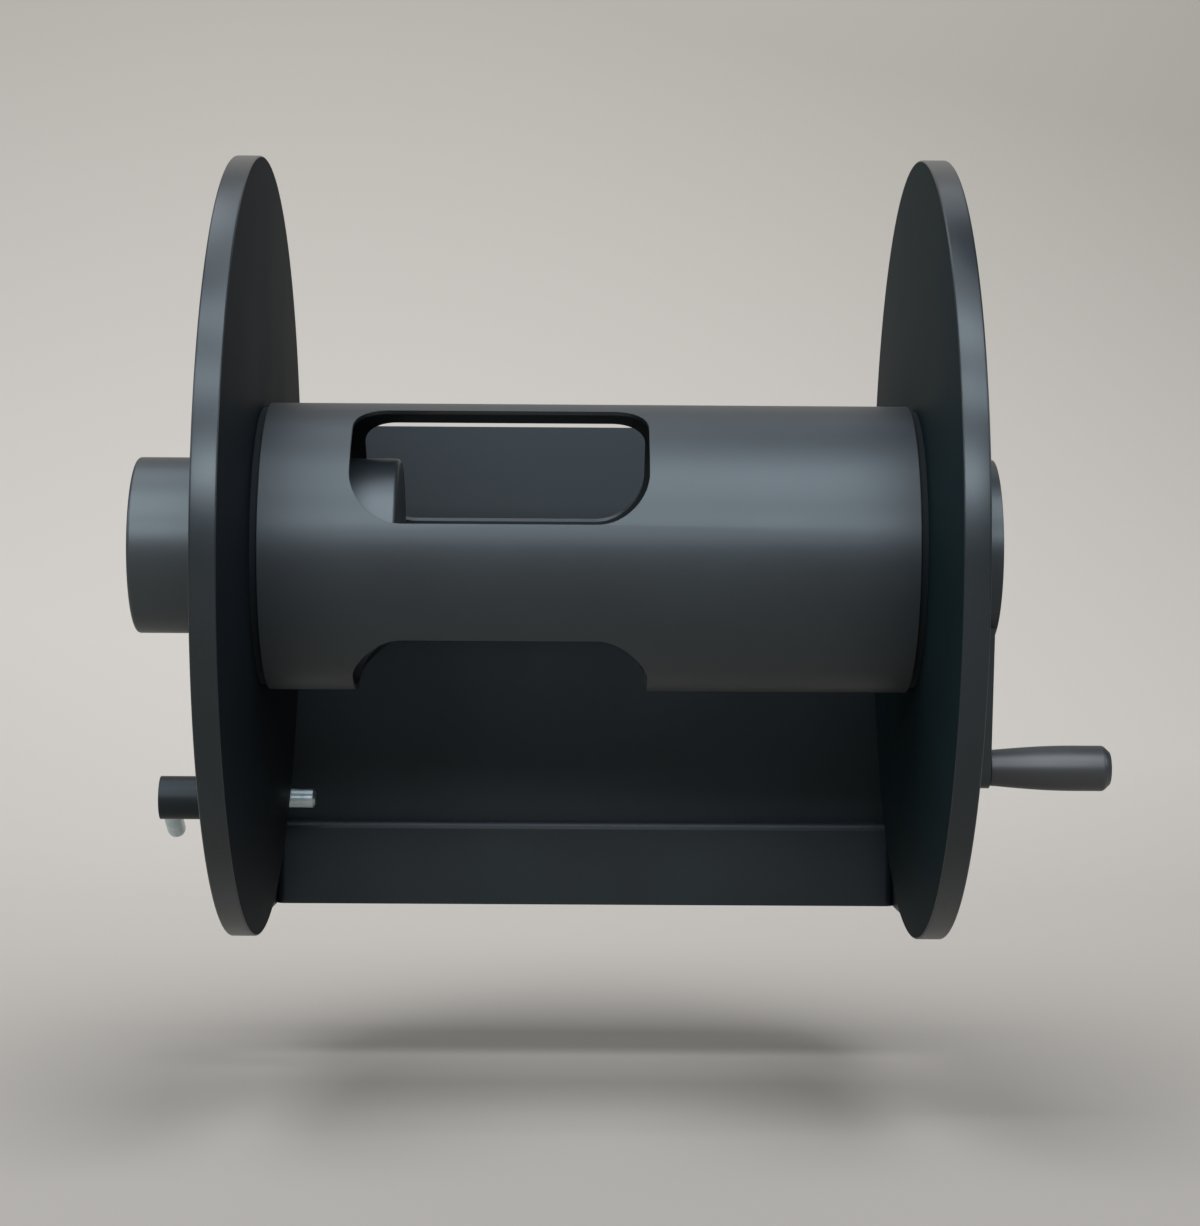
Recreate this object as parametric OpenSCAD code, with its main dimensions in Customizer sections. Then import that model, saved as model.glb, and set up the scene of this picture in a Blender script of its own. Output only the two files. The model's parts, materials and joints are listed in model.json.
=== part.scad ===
// Wall-mounted hose reel with a hand crank.
// The origin is the centre of the wall bolt pattern, on the wall face.
// X runs along the drum's axis with the crank at +X, Y points at the wall, Z is up.

/* [Discs] */
// Outside diameter of each side disc
disc_d = 508; // [480:1:540]
// Thickness of each side disc
disc_t = 16; // [12:0.5:20]
// Clear width between the two discs
disc_gap = 425.6; // [400:0.1:460]
// Rounding on the edges of a disc's rim
disc_edge_r = 1.2; // [0.5:0.1:2.5]

/* [Drum] */
// Outside diameter of the drum tube
drum_d = 188; // [184:1:196]
// Wall of the drum tube
drum_wall = 3; // [2:0.5:4]
// Shadow gap between an end of the drum tube and its disc
drum_end_gap = 4.9; // [3:0.1:7]
// Thickness of the end plates inside the drum
end_plate_t = 16; // [12:1:22]

/* [Windows] */
// Length of each window along the drum
window_len = 189.4; // [160:0.1:200]
// Middle of the windows along the drum, from the middle of the reel
window_mid_x = -56.7; // [-64:0.1:-40]
// Radius of the windows' corners
window_corner_r = 33; // [25:1:35]
// Radius of the windows' corners that are nearest to the drum's top
window_top_corner_r = 23; // [15:1:30]
// Width of the front window, square to the way it was cut
front_window_w = 94.7; // [70:0.1:100]
// Angle of the front window's middle, up from the front
front_window_angle = 38; // [30:1:45]
// Width of the rear window
rear_window_w = 83.4; // [60:0.1:90]
// Angle of the rear window's middle, up from the front
rear_window_angle = 140.3; // [135:0.1:150]
// Width of the lower window
lower_window_w = 143.6; // [100:0.1:150]

/* [Left hub] */
// Outside diameter of the fixed hub tube
hub_d = 115.4; // [110:0.1:118]
// Wall of the hub tube
hub_wall = 5; // [4:0.5:7]
// How far the hub tube stands out past the left disc
hub_reach = 66.4; // [58:0.1:74]
// How far the hub tube runs into the drum, from the left disc's inner face
hub_depth = 89.5; // [80:0.1:100]
// Rounding on the edge of the hub tube's outer end
hub_edge_r = 2.2; // [0.5:0.1:3]
// Rounding on the edge of the end inside the drum
hub_end_r = 3; // [0.5:0.1:3.5]
// Thickness of the two plates that close the hub tube
hub_plate_t = 8; // [6:0.5:12]
// How far the outer plate sits inside the tube's end
hub_recess = 1; // [0.5:0.5:3]
// Width of the flange that fixes the hub tube to its side plate
hub_flange_w = 18.3; // [16:0.1:22]
// Thickness of that flange
hub_flange_t = 6; // [4:0.5:8]
// Distance of the flange screws from the flange's rim
hub_flange_screw_in = 9; // [8:0.5:10]
// Number of flange screws
hub_flange_screws_n = 6; // [4:1:8]

/* [Crank side] */
// Diameter of the crank's round boss
boss_d = 118.6; // [110:0.1:124]
// How far the boss's end face stands out past the right disc
boss_reach = 35.9; // [34:0.1:42]
// Length of the boss along the axis
boss_len = 9.2; // [8:0.1:11]
// Step from the boss's end face back to the arm's outer face
arm_step = 1.2; // [1:0.1:2.5]
// Distance from the drum's axis to the handle's axis
crank_r = 143; // [130:0.1:155]
// Width of the arm at the drum's axis
arm_root_w = 76; // [60:1:90]
// Width of the arm's round end
arm_tip_w = 27; // [24:1:34]
// Diameter of the crank shaft
shaft_d = 50; // [40:1:54]
// Width of the flange on the crank shaft's inner end
shaft_flange_w = 23; // [20:1:28]
// Thickness of that flange
shaft_flange_t = 10; // [8:1:14]
// Distance of the shaft flange screws from the flange's rim
shaft_screw_in = 12; // [10:0.5:13]
// Number of shaft flange screws
shaft_screws_n = 4; // [3:1:6]
// Diameter of the spigot on the shaft's outer end
spigot_d = 20; // [16:1:22]
// Length of the spigot
spigot_len = 3.6; // [3:0.1:4]
// Distance of the crank screws out from the spigot
crank_screw_out = 7; // [6:0.5:8]
// Number of crank screws
crank_screws_n = 4; // [3:1:6]
// How far the round cap reaches past the heads of the crank screws
cap_rim = 5; // [3:0.5:8]
// Depth of the crank screws' holes in the shaft
crank_hole_depth = 16; // [14:1:24]
// Thickness of that cap
cap_t = 2.4; // [1.5:0.1:3]
// How far that cap stands out of the boss
cap_proud = 2; // [1:0.1:2.2]

/* [Bearing] */
// Wall of the crank side bush
right_bush_t = 6; // [4:0.5:8]
// Length that the bearing housing stands out from its side plate
housing_len = 17.5; // [15:0.5:18]
// Wall of the housing's barrel
housing_wall = 8; // [6:0.5:11]
// Width of the housing's flange
housing_flange_w = 22; // [18:1:26]
// Thickness of the housing's flange
housing_flange_t = 6; // [4:0.5:8]
// Distance of the housing screws from the flange's rim
housing_screw_in = 11; // [10:0.5:12]
// Number of housing screws
housing_screws_n = 4; // [3:1:6]
// Wall of the left bush
left_bush_t = 6; // [4:0.5:8]
// Length of the collar that carries the left bush inside the drum
bush_collar_len = 28; // [20:1:34]
// Wall of that collar
bush_collar_wall = 6.5; // [5:0.5:8]
// Thickness of the thrust washers
thrust_t = 2; // [1.5:0.1:2.1]
// Width of the left thrust washer, round the hub tube
left_thrust_w = 15.3; // [10:0.1:17]
// Width of the right thrust washer, round the shaft
right_thrust_w = 17; // [12:1:20]

/* [Handle] */
// Length of the grip
grip_len = 79.3; // [74:0.1:95]
// Diameter of the grip's thick part
grip_d = 29.8; // [28:0.1:32]
// Diameter of the grip's neck
grip_neck_d = 23.6; // [22:0.1:26]
// Length of the neck before the grip swells
grip_neck_len = 1.5; // [1:0.5:8]
// Length over which the grip swells
grip_swell_len = 54; // [30:1:56]
// Length of the chamfer on the grip's end
grip_end_len = 4.5; // [4:0.5:8]
// Diameter of the grip's end face
grip_end_d = 21.5; // [20:0.1:26]
// Chamfer on the edge of the grip's inner end
grip_edge = 0.8; // [0.5:0.1:1.2]
// Diameter of the handle's spindle
spindle_d = 14; // [12:0.5:15]
// Diameter of the spindle's thread
spindle_thread_d = 10; // [8:0.5:11]
// How far the spindle's head stands out round it
spindle_head_rim = 1.5; // [1:0.1:1.8]
// Thickness of the spindle's head
spindle_head_t = 4; // [3:0.5:5]
// Depth of the grip's counterbore
grip_bore_depth = 7.4; // [7:0.1:9]
// Thickness of the plug in the grip's end
grip_plug_t = 2; // [1.5:0.1:2.2]
// Width across flats of the spindle's nut
nut_af = 17; // [15:1:19]
// Thickness of the nut
nut_t = 6.5; // [5:0.5:8]

/* [Frame] */
// Thickness of the wall plate's sheet
panel_t = 3; // [2:0.5:4]
// Gap between the discs' rims and the wall plate
panel_gap = 33; // [28:1:40]
// Height of the wall plate's top edge above the drum's axis
panel_top = 96.5; // [94:0.5:102]
// How far the frame's foot reaches below the discs
foot_drop = 8.8; // [6:0.1:12]
// Depth of the wall plate's side flanges, from the wall
flange_depth = 21; // [20:0.5:24]
// Running gap between a disc and its side plate
side_gap = 2.2; // [2.2:0.1:4]
// Thickness of the side plates
cheek_t = 4.5; // [4:0.5:6]
// How far the side plates' nose stands out round the hub's flange
cheek_nose_rim = 6; // [4:1:14]
// Depth of a side plate at its foot, from the wall
cheek_foot_depth = 100; // [95:1:115]
// Depth of a side plate at its top, from the wall
cheek_top_depth = 40; // [30:1:60]
// Height of the rail along the foot
rail_h = 61.8; // [55:0.1:68]
// Depth of the rail in front of the wall plate
rail_depth = 18; // [17:0.5:18]
// Rounding along the rail's top front edge
rail_round_r = 5.5; // [4:0.5:12]
// Rounding of the rail's upright front corners
rail_corner_r = 6; // [5:0.5:10]
// Wall of the rail
rail_wall = 2.5; // [2:0.5:3]
// Spacing of the wall bolts along the wall
wall_bolt_dx = 390; // [360:1:400]
// Spacing of the wall bolts up the wall
wall_bolt_dz = 130; // [120:1:140]
// Diameter of the wall bolt holes
wall_hole_d = 11; // [9:0.5:13]

/* [Hangers] */
// Height of the upper hanger studs above the drum's axis
hanger_z = 70; // [60:1:76]
// Height of the lower hanger stud above the rail
hanger_low_rise = 51; // [41:1:61]
// How much wider the round seat of a stud is than its slot
hook_relief = 0.2; // [0.1:0.1:0.5]
// Distance of the studs from the wall
hanger_depth = 11; // [10.5:0.5:12]
// Diameter of the studs
stud_d = 10; // [8:0.5:10.5]
// How far the studs' outer heads stand out round them
stud_head_rim = 4; // [3:0.5:5]
// Thickness of the studs' outer heads
stud_head_t = 4; // [3:0.5:6]
// How far the studs' inner heads stand out round them
stud_foot_rim = 2; // [1:0.5:2.5]
// Thickness of the studs' inner heads
stud_foot_t = 3; // [2:0.5:4]
// How far the reel lifts to come off the studs
lift = 12; // [10:1:16]
// Diameter of the tie rod between the side plates
tie_d = 20; // [16:1:22]
// Distance of the tie rod from the wall
tie_depth = 20; // [19.5:0.5:20.5]
// Height of the tie rod
tie_z = -25; // [-30:1:-20]
// Gap round the tie rod in the wall plate's notches
tie_notch_gap = 1; // [0.5:0.5:2]
// Diameter of the screws in the tie rod
tie_screw_d = 10; // [8:0.5:10]
// How far the heads of those screws stand out round them
tie_head_rim = 3; // [2.5:0.5:4]
// Length of those screws
tie_screw_len = 34; // [25:1:40]

/* [Pull pin] */
// Diameter of the pin's rod
pin_d = 13.6; // [12:0.1:14]
// Outside diameter of the pin's barrel
pin_barrel_d = 31.2; // [30:0.1:34]
// Wall of the barrel
pin_barrel_wall = 3.6; // [3:0.1:4]
// Length of the barrel, from its side plate
pin_barrel_len = 73; // [65:1:80]
// Thickness of the barrel's inner end wall
pin_end_wall = 5.5; // [4:0.5:7]
// Distance of the pin's axis out from the discs' rims
pin_rim_gap = 15.5; // [15:0.1:18]
// Angle of the pin below level, seen from the drum's axis
pin_angle = 41.77; // [41:0.01:43]
// Radius at the middle of the bend between the rod and its handle
pin_bend_r = 8; // [7.5:0.1:9]
// How far the pin's tip stands in past the left disc's outer face
pin_tip_in = 32.3; // [25:0.1:36]
// Chamfer on the pin's tip
pin_tip_edge = 1.7; // [1:0.1:3]
// Distance of the pin's handle from the barrel's outer end
pin_handle_in = 5; // [4:0.5:6]
// Length of the handle from the pin's axis
pin_handle_len = 53; // [45:1:58]
// Angle of the handle below level, towards the wall
pin_handle_angle = 29; // [20:1:40]
// Gap round the collar that the spring pushes on
pin_collar_gap = 0.6; // [0.4:0.1:1]
// Thickness of that collar
pin_collar_t = 4; // [3:0.5:5]
// Gap round the spring in the barrel
pin_spring_gap = 1; // [0.6:0.1:1.4]
// Diameter of the spring's wire
pin_wire_d = 2.4; // [2:0.1:2.8]
// Thickness of the guide inside the barrel
pin_guide_t = 4; // [3:0.5:5]
// Distance of the guide from the barrel's outer end
pin_guide_in = 14.5; // [14:0.5:16]
// Radius of the ear that takes the pin
pin_ear_r = 12; // [11:0.5:12.5]

/* [Swivel] */
// Diameter inside the inlet's thread
inlet_d = 30.3; // [24:0.1:32]
// Depth of the inlet's thread
inlet_depth = 22; // [18:1:24]
// Wall of the inlet fitting round its thread
inlet_wall = 8.85; // [7:0.05:12]
// Length of the inlet fitting
inlet_len = 32; // [28:1:36]
// Diameter of the waterway
waterway_d = 14; // [12:0.5:15]
// Wall of the swivel's housing
swivel_wall = 13; // [10:0.5:17]
// Length of the swivel's housing
swivel_len = 62; // [56:1:66]
// Thickness of the housing's end wall
swivel_end_t = 6; // [4:0.5:8]
// Diameter of the rotor inside the housing
rotor_d = 34; // [32:0.5:36]
// Length of the rotor's thick part
rotor_len = 51; // [44:1:52]
// Wall of the rotor's neck
neck_wall = 4.5; // [4:0.1:5]
// Thickness of the ring that keeps the rotor in
retainer_t = 4; // [3:0.5:5]
// Diameter of the outlet's thread
outlet_d = 20.96; // [18:0.01:21.5]
// Length of the outlet's thread
outlet_len = 22; // [18:1:26]
// Cross-section of the seal rings
seal_d = 2.7; // [2.4:0.1:3]
// Thickness of the drive arm
drive_t = 8; // [6:0.5:10]
// Width of the drive arm
drive_w = 20; // [16:1:24]
// Wall of the drive arm's collar
drive_collar_wall = 3; // [2.5:0.5:5]
// Angle of the drive arm below the front
drive_angle = 16; // [12:1:20]

/* [Screws] */
// Diameter of the M6 screws
m6_d = 6; // [5:0.5:6.5]
// Diameter of the M6 screws' heads
m6_head_d = 10; // [9:0.5:11]
// Height of the M6 screws' heads
m6_head_h = 4; // [3:0.5:4.5]
// Diameter of the M8 screws
m8_d = 8; // [7:0.5:8.5]
// Diameter of the M8 screws' heads
m8_head_d = 13; // [12:0.5:14]
// Height of the M8 screws' heads
m8_head_h = 5.5; // [4:0.5:6]
// Number of screws that hold each disc
disc_screws_n = 6; // [4:1:8]
// Length of the disc screws
disc_screw_len = 26; // [22:1:27]
// Width across flats of the sockets in the screw heads
socket_af = 5; // [4:0.5:5.5]
// Depth of those sockets
socket_depth = 2.2; // [1.5:0.1:2.5]
// Spare depth of a threaded hole past its screw, and of the metal past the hole
thread_spare = 1; // [0.5:0.5:2]

/* [Clearances] */
// Radial clearance of a running fit
run_fit = 0.06; // [0.03:0.01:0.1]
// Radial clearance round pieces that are pressed or screwed in
seat_fit = 0.05; // [0.02:0.01:0.1]
// Clearance of a loose hole round what passes through it
loose_fit = 0.4; // [0.3:0.1:0.6]
// Small gap between faces that turn past each other
face_gap = 0.3; // [0.2:0.05:0.5]

/* [Hidden] */

$fn = 96;
eps = 0.01;
past = 1;
touch_in = 0.2;

disc_r = disc_d / 2;
disc_in = disc_gap / 2;
disc_out = disc_in + disc_t;
cheek_in = disc_out + side_gap;
cheek_out = cheek_in + cheek_t;

drum_r = drum_d / 2;
drum_bore_r = drum_r - drum_wall;
drum_end = disc_in - drum_end_gap;
plate_r = drum_bore_r - seat_fit;
plate_in = disc_in - end_plate_t;

hub_r = hub_d / 2;
hub_bore_r = hub_r - hub_wall;
hub_x0 = -(disc_out + hub_reach);
hub_x1 = -(disc_in - hub_depth);
left_bush_r0 = hub_r + run_fit;
left_bush_r1 = hub_r + left_bush_t;
disc_screw_pcd = left_bush_r1 + plate_r;
hub_cap_x = hub_x0 + hub_recess;
hub_inner_x = hub_x1 - hub_plate_t;
hub_flange_r = hub_r + hub_flange_w;
hub_flange_pcd = 2 * (hub_flange_r - hub_flange_screw_in);
cheek_nose_r = hub_flange_r + cheek_nose_rim;

boss_x1 = disc_out + boss_reach;
boss_x0 = boss_x1 - boss_len;
arm_x1 = boss_x1 - arm_step;
shaft_r = shaft_d / 2;
shaft_bore_r = shaft_r + run_fit;
shaft_flange_r = shaft_r + shaft_flange_w;
shaft_flange_pcd = 2 * (shaft_flange_r - shaft_screw_in);
crank_screw_pcd = spigot_d + 2 * crank_screw_out;
cap_r = (crank_screw_pcd + m6_head_d) / 2 + cap_rim;
bush_r = shaft_r + right_bush_t;
housing_r = bush_r + housing_wall;
housing_flange_r = housing_r + housing_flange_w;
housing_pcd = 2 * (housing_flange_r - housing_screw_in);
housing_x1 = cheek_out + housing_len;
cap_x1 = boss_x1 + cap_proud;
cap_x0 = cap_x1 - cap_t;
boss_floor = boss_x0 + spigot_len;

grip_x0 = arm_x1 + face_gap;
grip_x1 = grip_x0 + grip_len;
spindle_x1 = grip_x1 - grip_bore_depth + spindle_head_t + face_gap;
spindle_head_x = spindle_x1 - spindle_head_t;
nut_x0 = boss_x0 - nut_t;
spindle_head_r = spindle_d / 2 + spindle_head_rim;

axis_y = -(disc_r + panel_gap + panel_t);
foot_z = -(disc_r + foot_drop);
rail_top = foot_z + rail_h;
flange_in = cheek_in - panel_t;
hanger_low_z = rail_top + hanger_low_rise;

pin_y = axis_y + (disc_r + pin_rim_gap) * cos(pin_angle);
pin_z = -(disc_r + pin_rim_gap) * sin(pin_angle);
pin_r = pin_d / 2;
pin_bore_r = pin_barrel_d / 2 - pin_barrel_wall;
pin_collar_r = pin_bore_r - pin_collar_gap;
pin_spring_r = pin_bore_r - pin_spring_gap;
pin_x_tip = -(disc_out - pin_tip_in);
barrel_x0 = -(cheek_out + pin_barrel_len);
pin_x_bend = barrel_x0 + pin_handle_in;
slot_w = pin_d + 2 * loose_fit;
collar_x1 = -(cheek_out + pin_end_wall + face_gap);
collar_x0 = collar_x1 - pin_collar_t;
guide_x0 = barrel_x0 + pin_guide_in;
guide_x1 = guide_x0 + pin_guide_t;
spring_x0 = guide_x1 + face_gap / 2;
spring_x1 = collar_x0 - face_gap / 2;

inlet_x0 = hub_cap_x;
inlet_x1 = inlet_x0 + inlet_len;
swivel_x1 = inlet_x1 + swivel_len;
rotor_r = rotor_d / 2;
rotor_x0 = inlet_x1 + swivel_end_t + 2 * face_gap;
rotor_x1 = rotor_x0 + rotor_len;
neck_r = waterway_d / 2 + neck_wall;
inlet_body_r = inlet_d / 2 + inlet_wall;
swivel_r = rotor_r + swivel_wall;
drive_x0 = hub_x1 + face_gap;
drive_x1 = drive_x0 + drive_t;
outlet_x0 = drive_x1;
outlet_x1 = outlet_x0 + outlet_len;
seal_r = seal_d / 2;
seal_mid_r = rotor_r + run_fit - seal_r - seat_fit;
groove_r = seal_mid_r - seal_r - seat_fit;
groove_w = seal_d + 2 * loose_fit;

black = [0.13, 0.14, 0.15];
dark = [0.09, 0.095, 0.1];
zinc = [0.75, 0.78, 0.78];
brass = [0.75, 0.6, 0.3];
bronze = [0.6, 0.45, 0.25];
white_plastic = [0.85, 0.85, 0.82];

// Places its children with the drum's axis as the X axis.
module on_axis() {
    translate([0, axis_y, 0]) children();
}

// Places its children with the pull pin's axis as the X axis.
module on_pin() {
    translate([0, pin_y, pin_z]) children();
}

// Places its children with the handle's axis as the X axis.
module on_handle() {
    translate([0, axis_y, -crank_r]) children();
}

// A cylinder along X from x0 to x1.
module bar(x0, x1, r) {
    translate([x0, 0, 0]) rotate([0, 90, 0]) cylinder(h = x1 - x0, r = r);
}

// A ring along X from x0 to x1.
module ring(x0, x1, r_out, r_in) {
    difference() {
        bar(x0, x1, r_out);
        bar(x0 - past, x1 + past, r_in);
    }
}

// Turns a profile of [radius, x] points about the X axis.
module turned(points) {
    rotate([0, 90, 0]) rotate_extrude() polygon(points);
}

// Repeats its children in a circle about the X axis.
module around(n, pcd, start = 0) {
    for (i = [0 : n - 1])
        rotate([start + i * 360 / n, 0, 0]) translate([0, 0, pcd / 2]) children();
}

// A hexagon along X, by its width across flats.
module hex_bar(x0, x1, af) {
    translate([x0, 0, 0]) rotate([0, 90, 0])
        cylinder(h = x1 - x0, d = af / cos(30), $fn = 6);
}

// A socket screw whose head sits on the face at x = 0 and whose shank runs to -len.
module socket_screw(d, head_d, head_h, len) {
    difference() {
        union() {
            bar(-len, eps, d / 2 - seat_fit);
            bar(0, head_h, head_d / 2);
        }
        hex_bar(head_h - socket_depth, head_h + past, socket_af);
    }
}

// A countersunk screw whose flat head ends at x = 0, with its shank towards -X.
module flush_screw(d, head_d, len) {
    cone = (head_d - d) / 2;
    difference() {
        turned([
            [0, -len], [d / 2 - seat_fit, -len], [d / 2 - seat_fit, -cone],
            [head_d / 2 - seat_fit, 0], [0, 0]
        ]);
        hex_bar(-socket_depth, 1, socket_af);
    }
}

// The hole for that screw.
module flush_hole(d, head_d, len) {
    cone = (head_d - d) / 2;
    turned([
        [0, -len], [d / 2, -len], [d / 2, -cone], [head_d / 2, 0],
        [head_d / 2 + past, past], [0, past]
    ]);
}

// A rectangle centred on the origin, its corners rounded by r_up above and by r_low below.
module round_rect(w, h, r_up, r_low) {
    translate([-w / 2, r_low - h / 2]) square([w, h - r_up - r_low]);
    for (c = [[1, r_up], [-1, r_low]]) {
        x = w / 2 - c[1];
        translate([-x, min(0, c[0] * h / 2)]) square([2 * x, h / 2]);
        for (s = [-1, 1]) translate([s * x, c[0] * (h / 2 - c[1])]) circle(c[1]);
    }
}

// Where a line from p meets the circle of radius r about c, just inside it, on the side s.
function touch_point(p, c, r, s) =
    let (
        d = p - c,
        q = r - touch_in,
        base = atan2(d[1], d[0]),
        turn = acos(q / norm(d))
    )
    c + q * [cos(base + s * turn), sin(base + s * turn)];

// A flat outline in Y and Z, given its thickness from x0 to x1.
module plate(x0, x1) {
    translate([x0, 0, 0]) rotate([90, 0, 90]) linear_extrude(x1 - x0) children();
}

// The L-shaped slot that hooks over a hanger stud at height z.
module hook_slot(z) {
    w = stud_d + 2 * loose_fit;
    translate([-hanger_depth, z]) circle(w / 2 + hook_relief);
    translate([-hanger_depth - w / 2, z - lift]) square([w, lift]);
    translate([-hanger_depth - w / 2, z - lift - w]) square([hanger_depth + w, w]);
}

// The outline of a side plate.
module cheek_outline() {
    c = [axis_y, 0];
    top = [-cheek_top_depth, panel_top];
    foot = [-cheek_foot_depth, foot_z];
    polygon([
        [0, foot_z], [0, panel_top], top,
        touch_point(top, c, cheek_nose_r, 1), c,
        touch_point(foot, c, cheek_nose_r, -1), foot
    ]);
    translate(c) circle(cheek_nose_r);
}

module back_panel() {
    notch_z0 = tie_z - tie_d / 2 - tie_notch_gap;
    notch_z1 = tie_z + tie_d / 2 + lift + tie_notch_gap;
    color(dark)
    difference() {
        union() {
            translate([-cheek_in, -panel_t, foot_z])
                cube([2 * cheek_in, panel_t, panel_top - foot_z]);
            for (x = [-cheek_in, flange_in])
                translate([x, -flange_depth, rail_top])
                    cube([panel_t, flange_depth, panel_top - rail_top]);
            plate(-cheek_in, -flange_in) pin_ear();
        }
        for (x = [-1, 1], z = [-1, 1])
            translate([x * wall_bolt_dx / 2, past, z * wall_bolt_dz / 2])
                rotate([90, 0, 0]) cylinder(h = panel_t + 2 * past, d = wall_hole_d);
        for (x = [-cheek_in - past, flange_in - past])
            translate([x, -flange_depth - past, notch_z0])
                cube([
                    panel_t + 2 * past,
                    flange_depth + past - tie_depth + tie_d / 2 + tie_notch_gap,
                    notch_z1 - notch_z0
                ]);
        on_pin() bar(-cheek_in - past, -flange_in + past, pin_r + loose_fit);
        for (p = [[-1, hanger_z], [1, hanger_z], [1, hanger_low_z]])
            translate([p[0] * (flange_in + panel_t / 2), -hanger_depth, p[1]])
                bar(-panel_t, panel_t, stud_d / 2);
    }
}

// The ear on the left flange that the pull pin goes through.
module pin_ear() {
    c = [pin_y, pin_z];
    top = [-flange_depth, pin_z + 2 * pin_ear_r];
    low = [-flange_depth, rail_top];
    polygon([
        top, touch_point(top, c, pin_ear_r, 1), c,
        touch_point(low, c, pin_ear_r, -1), low
    ]);
    translate(c) circle(pin_ear_r);
}

// The rail's section in Y and Z, drawn in from its outside by the wall w.
module rail_section(w) {
    r = rail_round_r - w;
    y0 = w - panel_t - rail_depth;
    y1 = w - panel_t;
    z0 = foot_z + w;
    z1 = rail_top - w;
    translate([y0, z0]) square([y1 - y0, z1 - r - z0]);
    translate([y0 + r, z0]) square([y1 - y0 - r, z1 - z0]);
    intersection() {
        translate([y0 + r, z1 - r]) circle(r);
        translate([y0, z1 - r]) square(r);
    }
}

// The rail's outline seen from above, drawn in from its outside by the wall w.
module rail_plan(w) {
    r = rail_corner_r - w;
    x1 = cheek_in - w;
    y0 = w - panel_t - rail_depth;
    y1 = w - panel_t;
    translate([-x1, y0 + r]) square([2 * x1, y1 - y0 - r]);
    translate([r - x1, y0]) square([2 * (x1 - r), y1 - y0]);
    for (s = [-1, 1]) translate([s * (x1 - r), y0 + r]) circle(r);
}

// The rail's outer shape with w at 0, and the hollow behind its wall with w at the wall.
module rail_body(w) {
    intersection() {
        plate(-cheek_in, cheek_in) rail_section(w);
        translate([0, 0, foot_z - past]) linear_extrude(rail_h + 2 * past) rail_plan(w);
    }
}

module base_rail() {
    color(black)
    difference() {
        rail_body(0);
        rail_body(rail_wall);
    }
}

module left_cheek() {
    color(dark)
    difference() {
        plate(-cheek_out, -cheek_in) difference() {
            cheek_outline();
            translate([axis_y, 0]) circle(hub_r + seat_fit);
            hook_slot(hanger_z);
            translate([-tie_depth, tie_z]) circle(tie_screw_d / 2);
        }
        on_pin() bar(-cheek_out - past, -cheek_in + past, pin_r + run_fit);
        on_axis() around(hub_flange_screws_n, hub_flange_pcd)
            bar(-cheek_out - past, -cheek_in + past, m6_d / 2);
    }
}

module right_cheek() {
    color(dark)
    difference() {
        plate(cheek_in, cheek_out) difference() {
            cheek_outline();
            translate([axis_y, 0]) circle(bush_r);
            hook_slot(hanger_z);
            hook_slot(hanger_low_z);
            translate([-tie_depth, tie_z]) circle(tie_screw_d / 2);
        }
        on_axis() around(housing_screws_n, housing_pcd, 45)
            bar(cheek_in - past, cheek_out + past, m8_d / 2);
    }
}

// One stud, with its outer head towards +X.
module hanger_stud() {
    bar(flange_in - stud_foot_t, cheek_out + 2 * face_gap, stud_d / 2 - seat_fit);
    bar(flange_in - stud_foot_t, flange_in, stud_d / 2 + stud_foot_rim);
    bar(cheek_out + face_gap, cheek_out + face_gap + stud_head_t, stud_d / 2 + stud_head_rim);
}

module hanger_studs() {
    color(zinc) {
        translate([0, -hanger_depth, hanger_z]) hanger_stud();
        translate([0, -hanger_depth, hanger_low_z]) hanger_stud();
        translate([0, -hanger_depth, hanger_z]) mirror([1, 0, 0]) hanger_stud();
    }
}

module tie_rod() {
    color(dark)
    translate([0, -tie_depth, tie_z])
    difference() {
        bar(-cheek_in, cheek_in, tie_d / 2);
        bar(-cheek_in - past, -cheek_in + tie_screw_len, tie_screw_d / 2);
        bar(cheek_in - tie_screw_len, cheek_in + past, tie_screw_d / 2);
    }
}

module tie_screws() {
    color(zinc)
    translate([0, -tie_depth, tie_z])
    for (s = [0, 1]) mirror([s, 0, 0])
        translate([cheek_out, 0, 0])
            socket_screw(tie_screw_d, tie_screw_d + 2 * tie_head_rim, m8_head_h, tie_screw_len);
}

module hub_tube() {
    color(black)
    on_axis()
    turned([
        [hub_bore_r, hub_x0], [hub_r - hub_edge_r, hub_x0],
        for (a = [15 : 15 : 75])
            [hub_r - hub_edge_r * (1 - sin(a)), hub_x0 + hub_edge_r * (1 - cos(a))],
        [hub_r, hub_x0 + hub_edge_r], [hub_r, hub_x1 - hub_end_r],
        for (a = [75 : -15 : 15])
            [hub_r - hub_end_r * (1 - sin(a)), hub_x1 - hub_end_r * (1 - cos(a))],
        [hub_r - hub_end_r, hub_x1], [hub_bore_r, hub_x1]
    ]);
}

module hub_flange() {
    color(dark)
    on_axis()
    difference() {
        ring(-cheek_out - hub_flange_t, -cheek_out, hub_flange_r, hub_r + seat_fit);
        around(hub_flange_screws_n, hub_flange_pcd)
            bar(-cheek_out - hub_flange_t - past, -cheek_out + past, m6_d / 2);
    }
}

module hub_flange_screws() {
    color(zinc)
    on_axis() mirror([1, 0, 0]) around(hub_flange_screws_n, hub_flange_pcd)
        translate([cheek_out + hub_flange_t, 0, 0])
            socket_screw(m6_d, m6_head_d, m6_head_h, hub_flange_t + cheek_t);
}

module hub_outer_plate() {
    color(black)
    on_axis()
    ring(hub_cap_x, hub_cap_x + hub_plate_t, hub_bore_r - seat_fit, inlet_body_r + seat_fit);
}

module hub_inner_plate() {
    color(black)
    on_axis()
    ring(hub_inner_x, hub_x1, hub_bore_r - seat_fit, neck_r + loose_fit);
}

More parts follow.
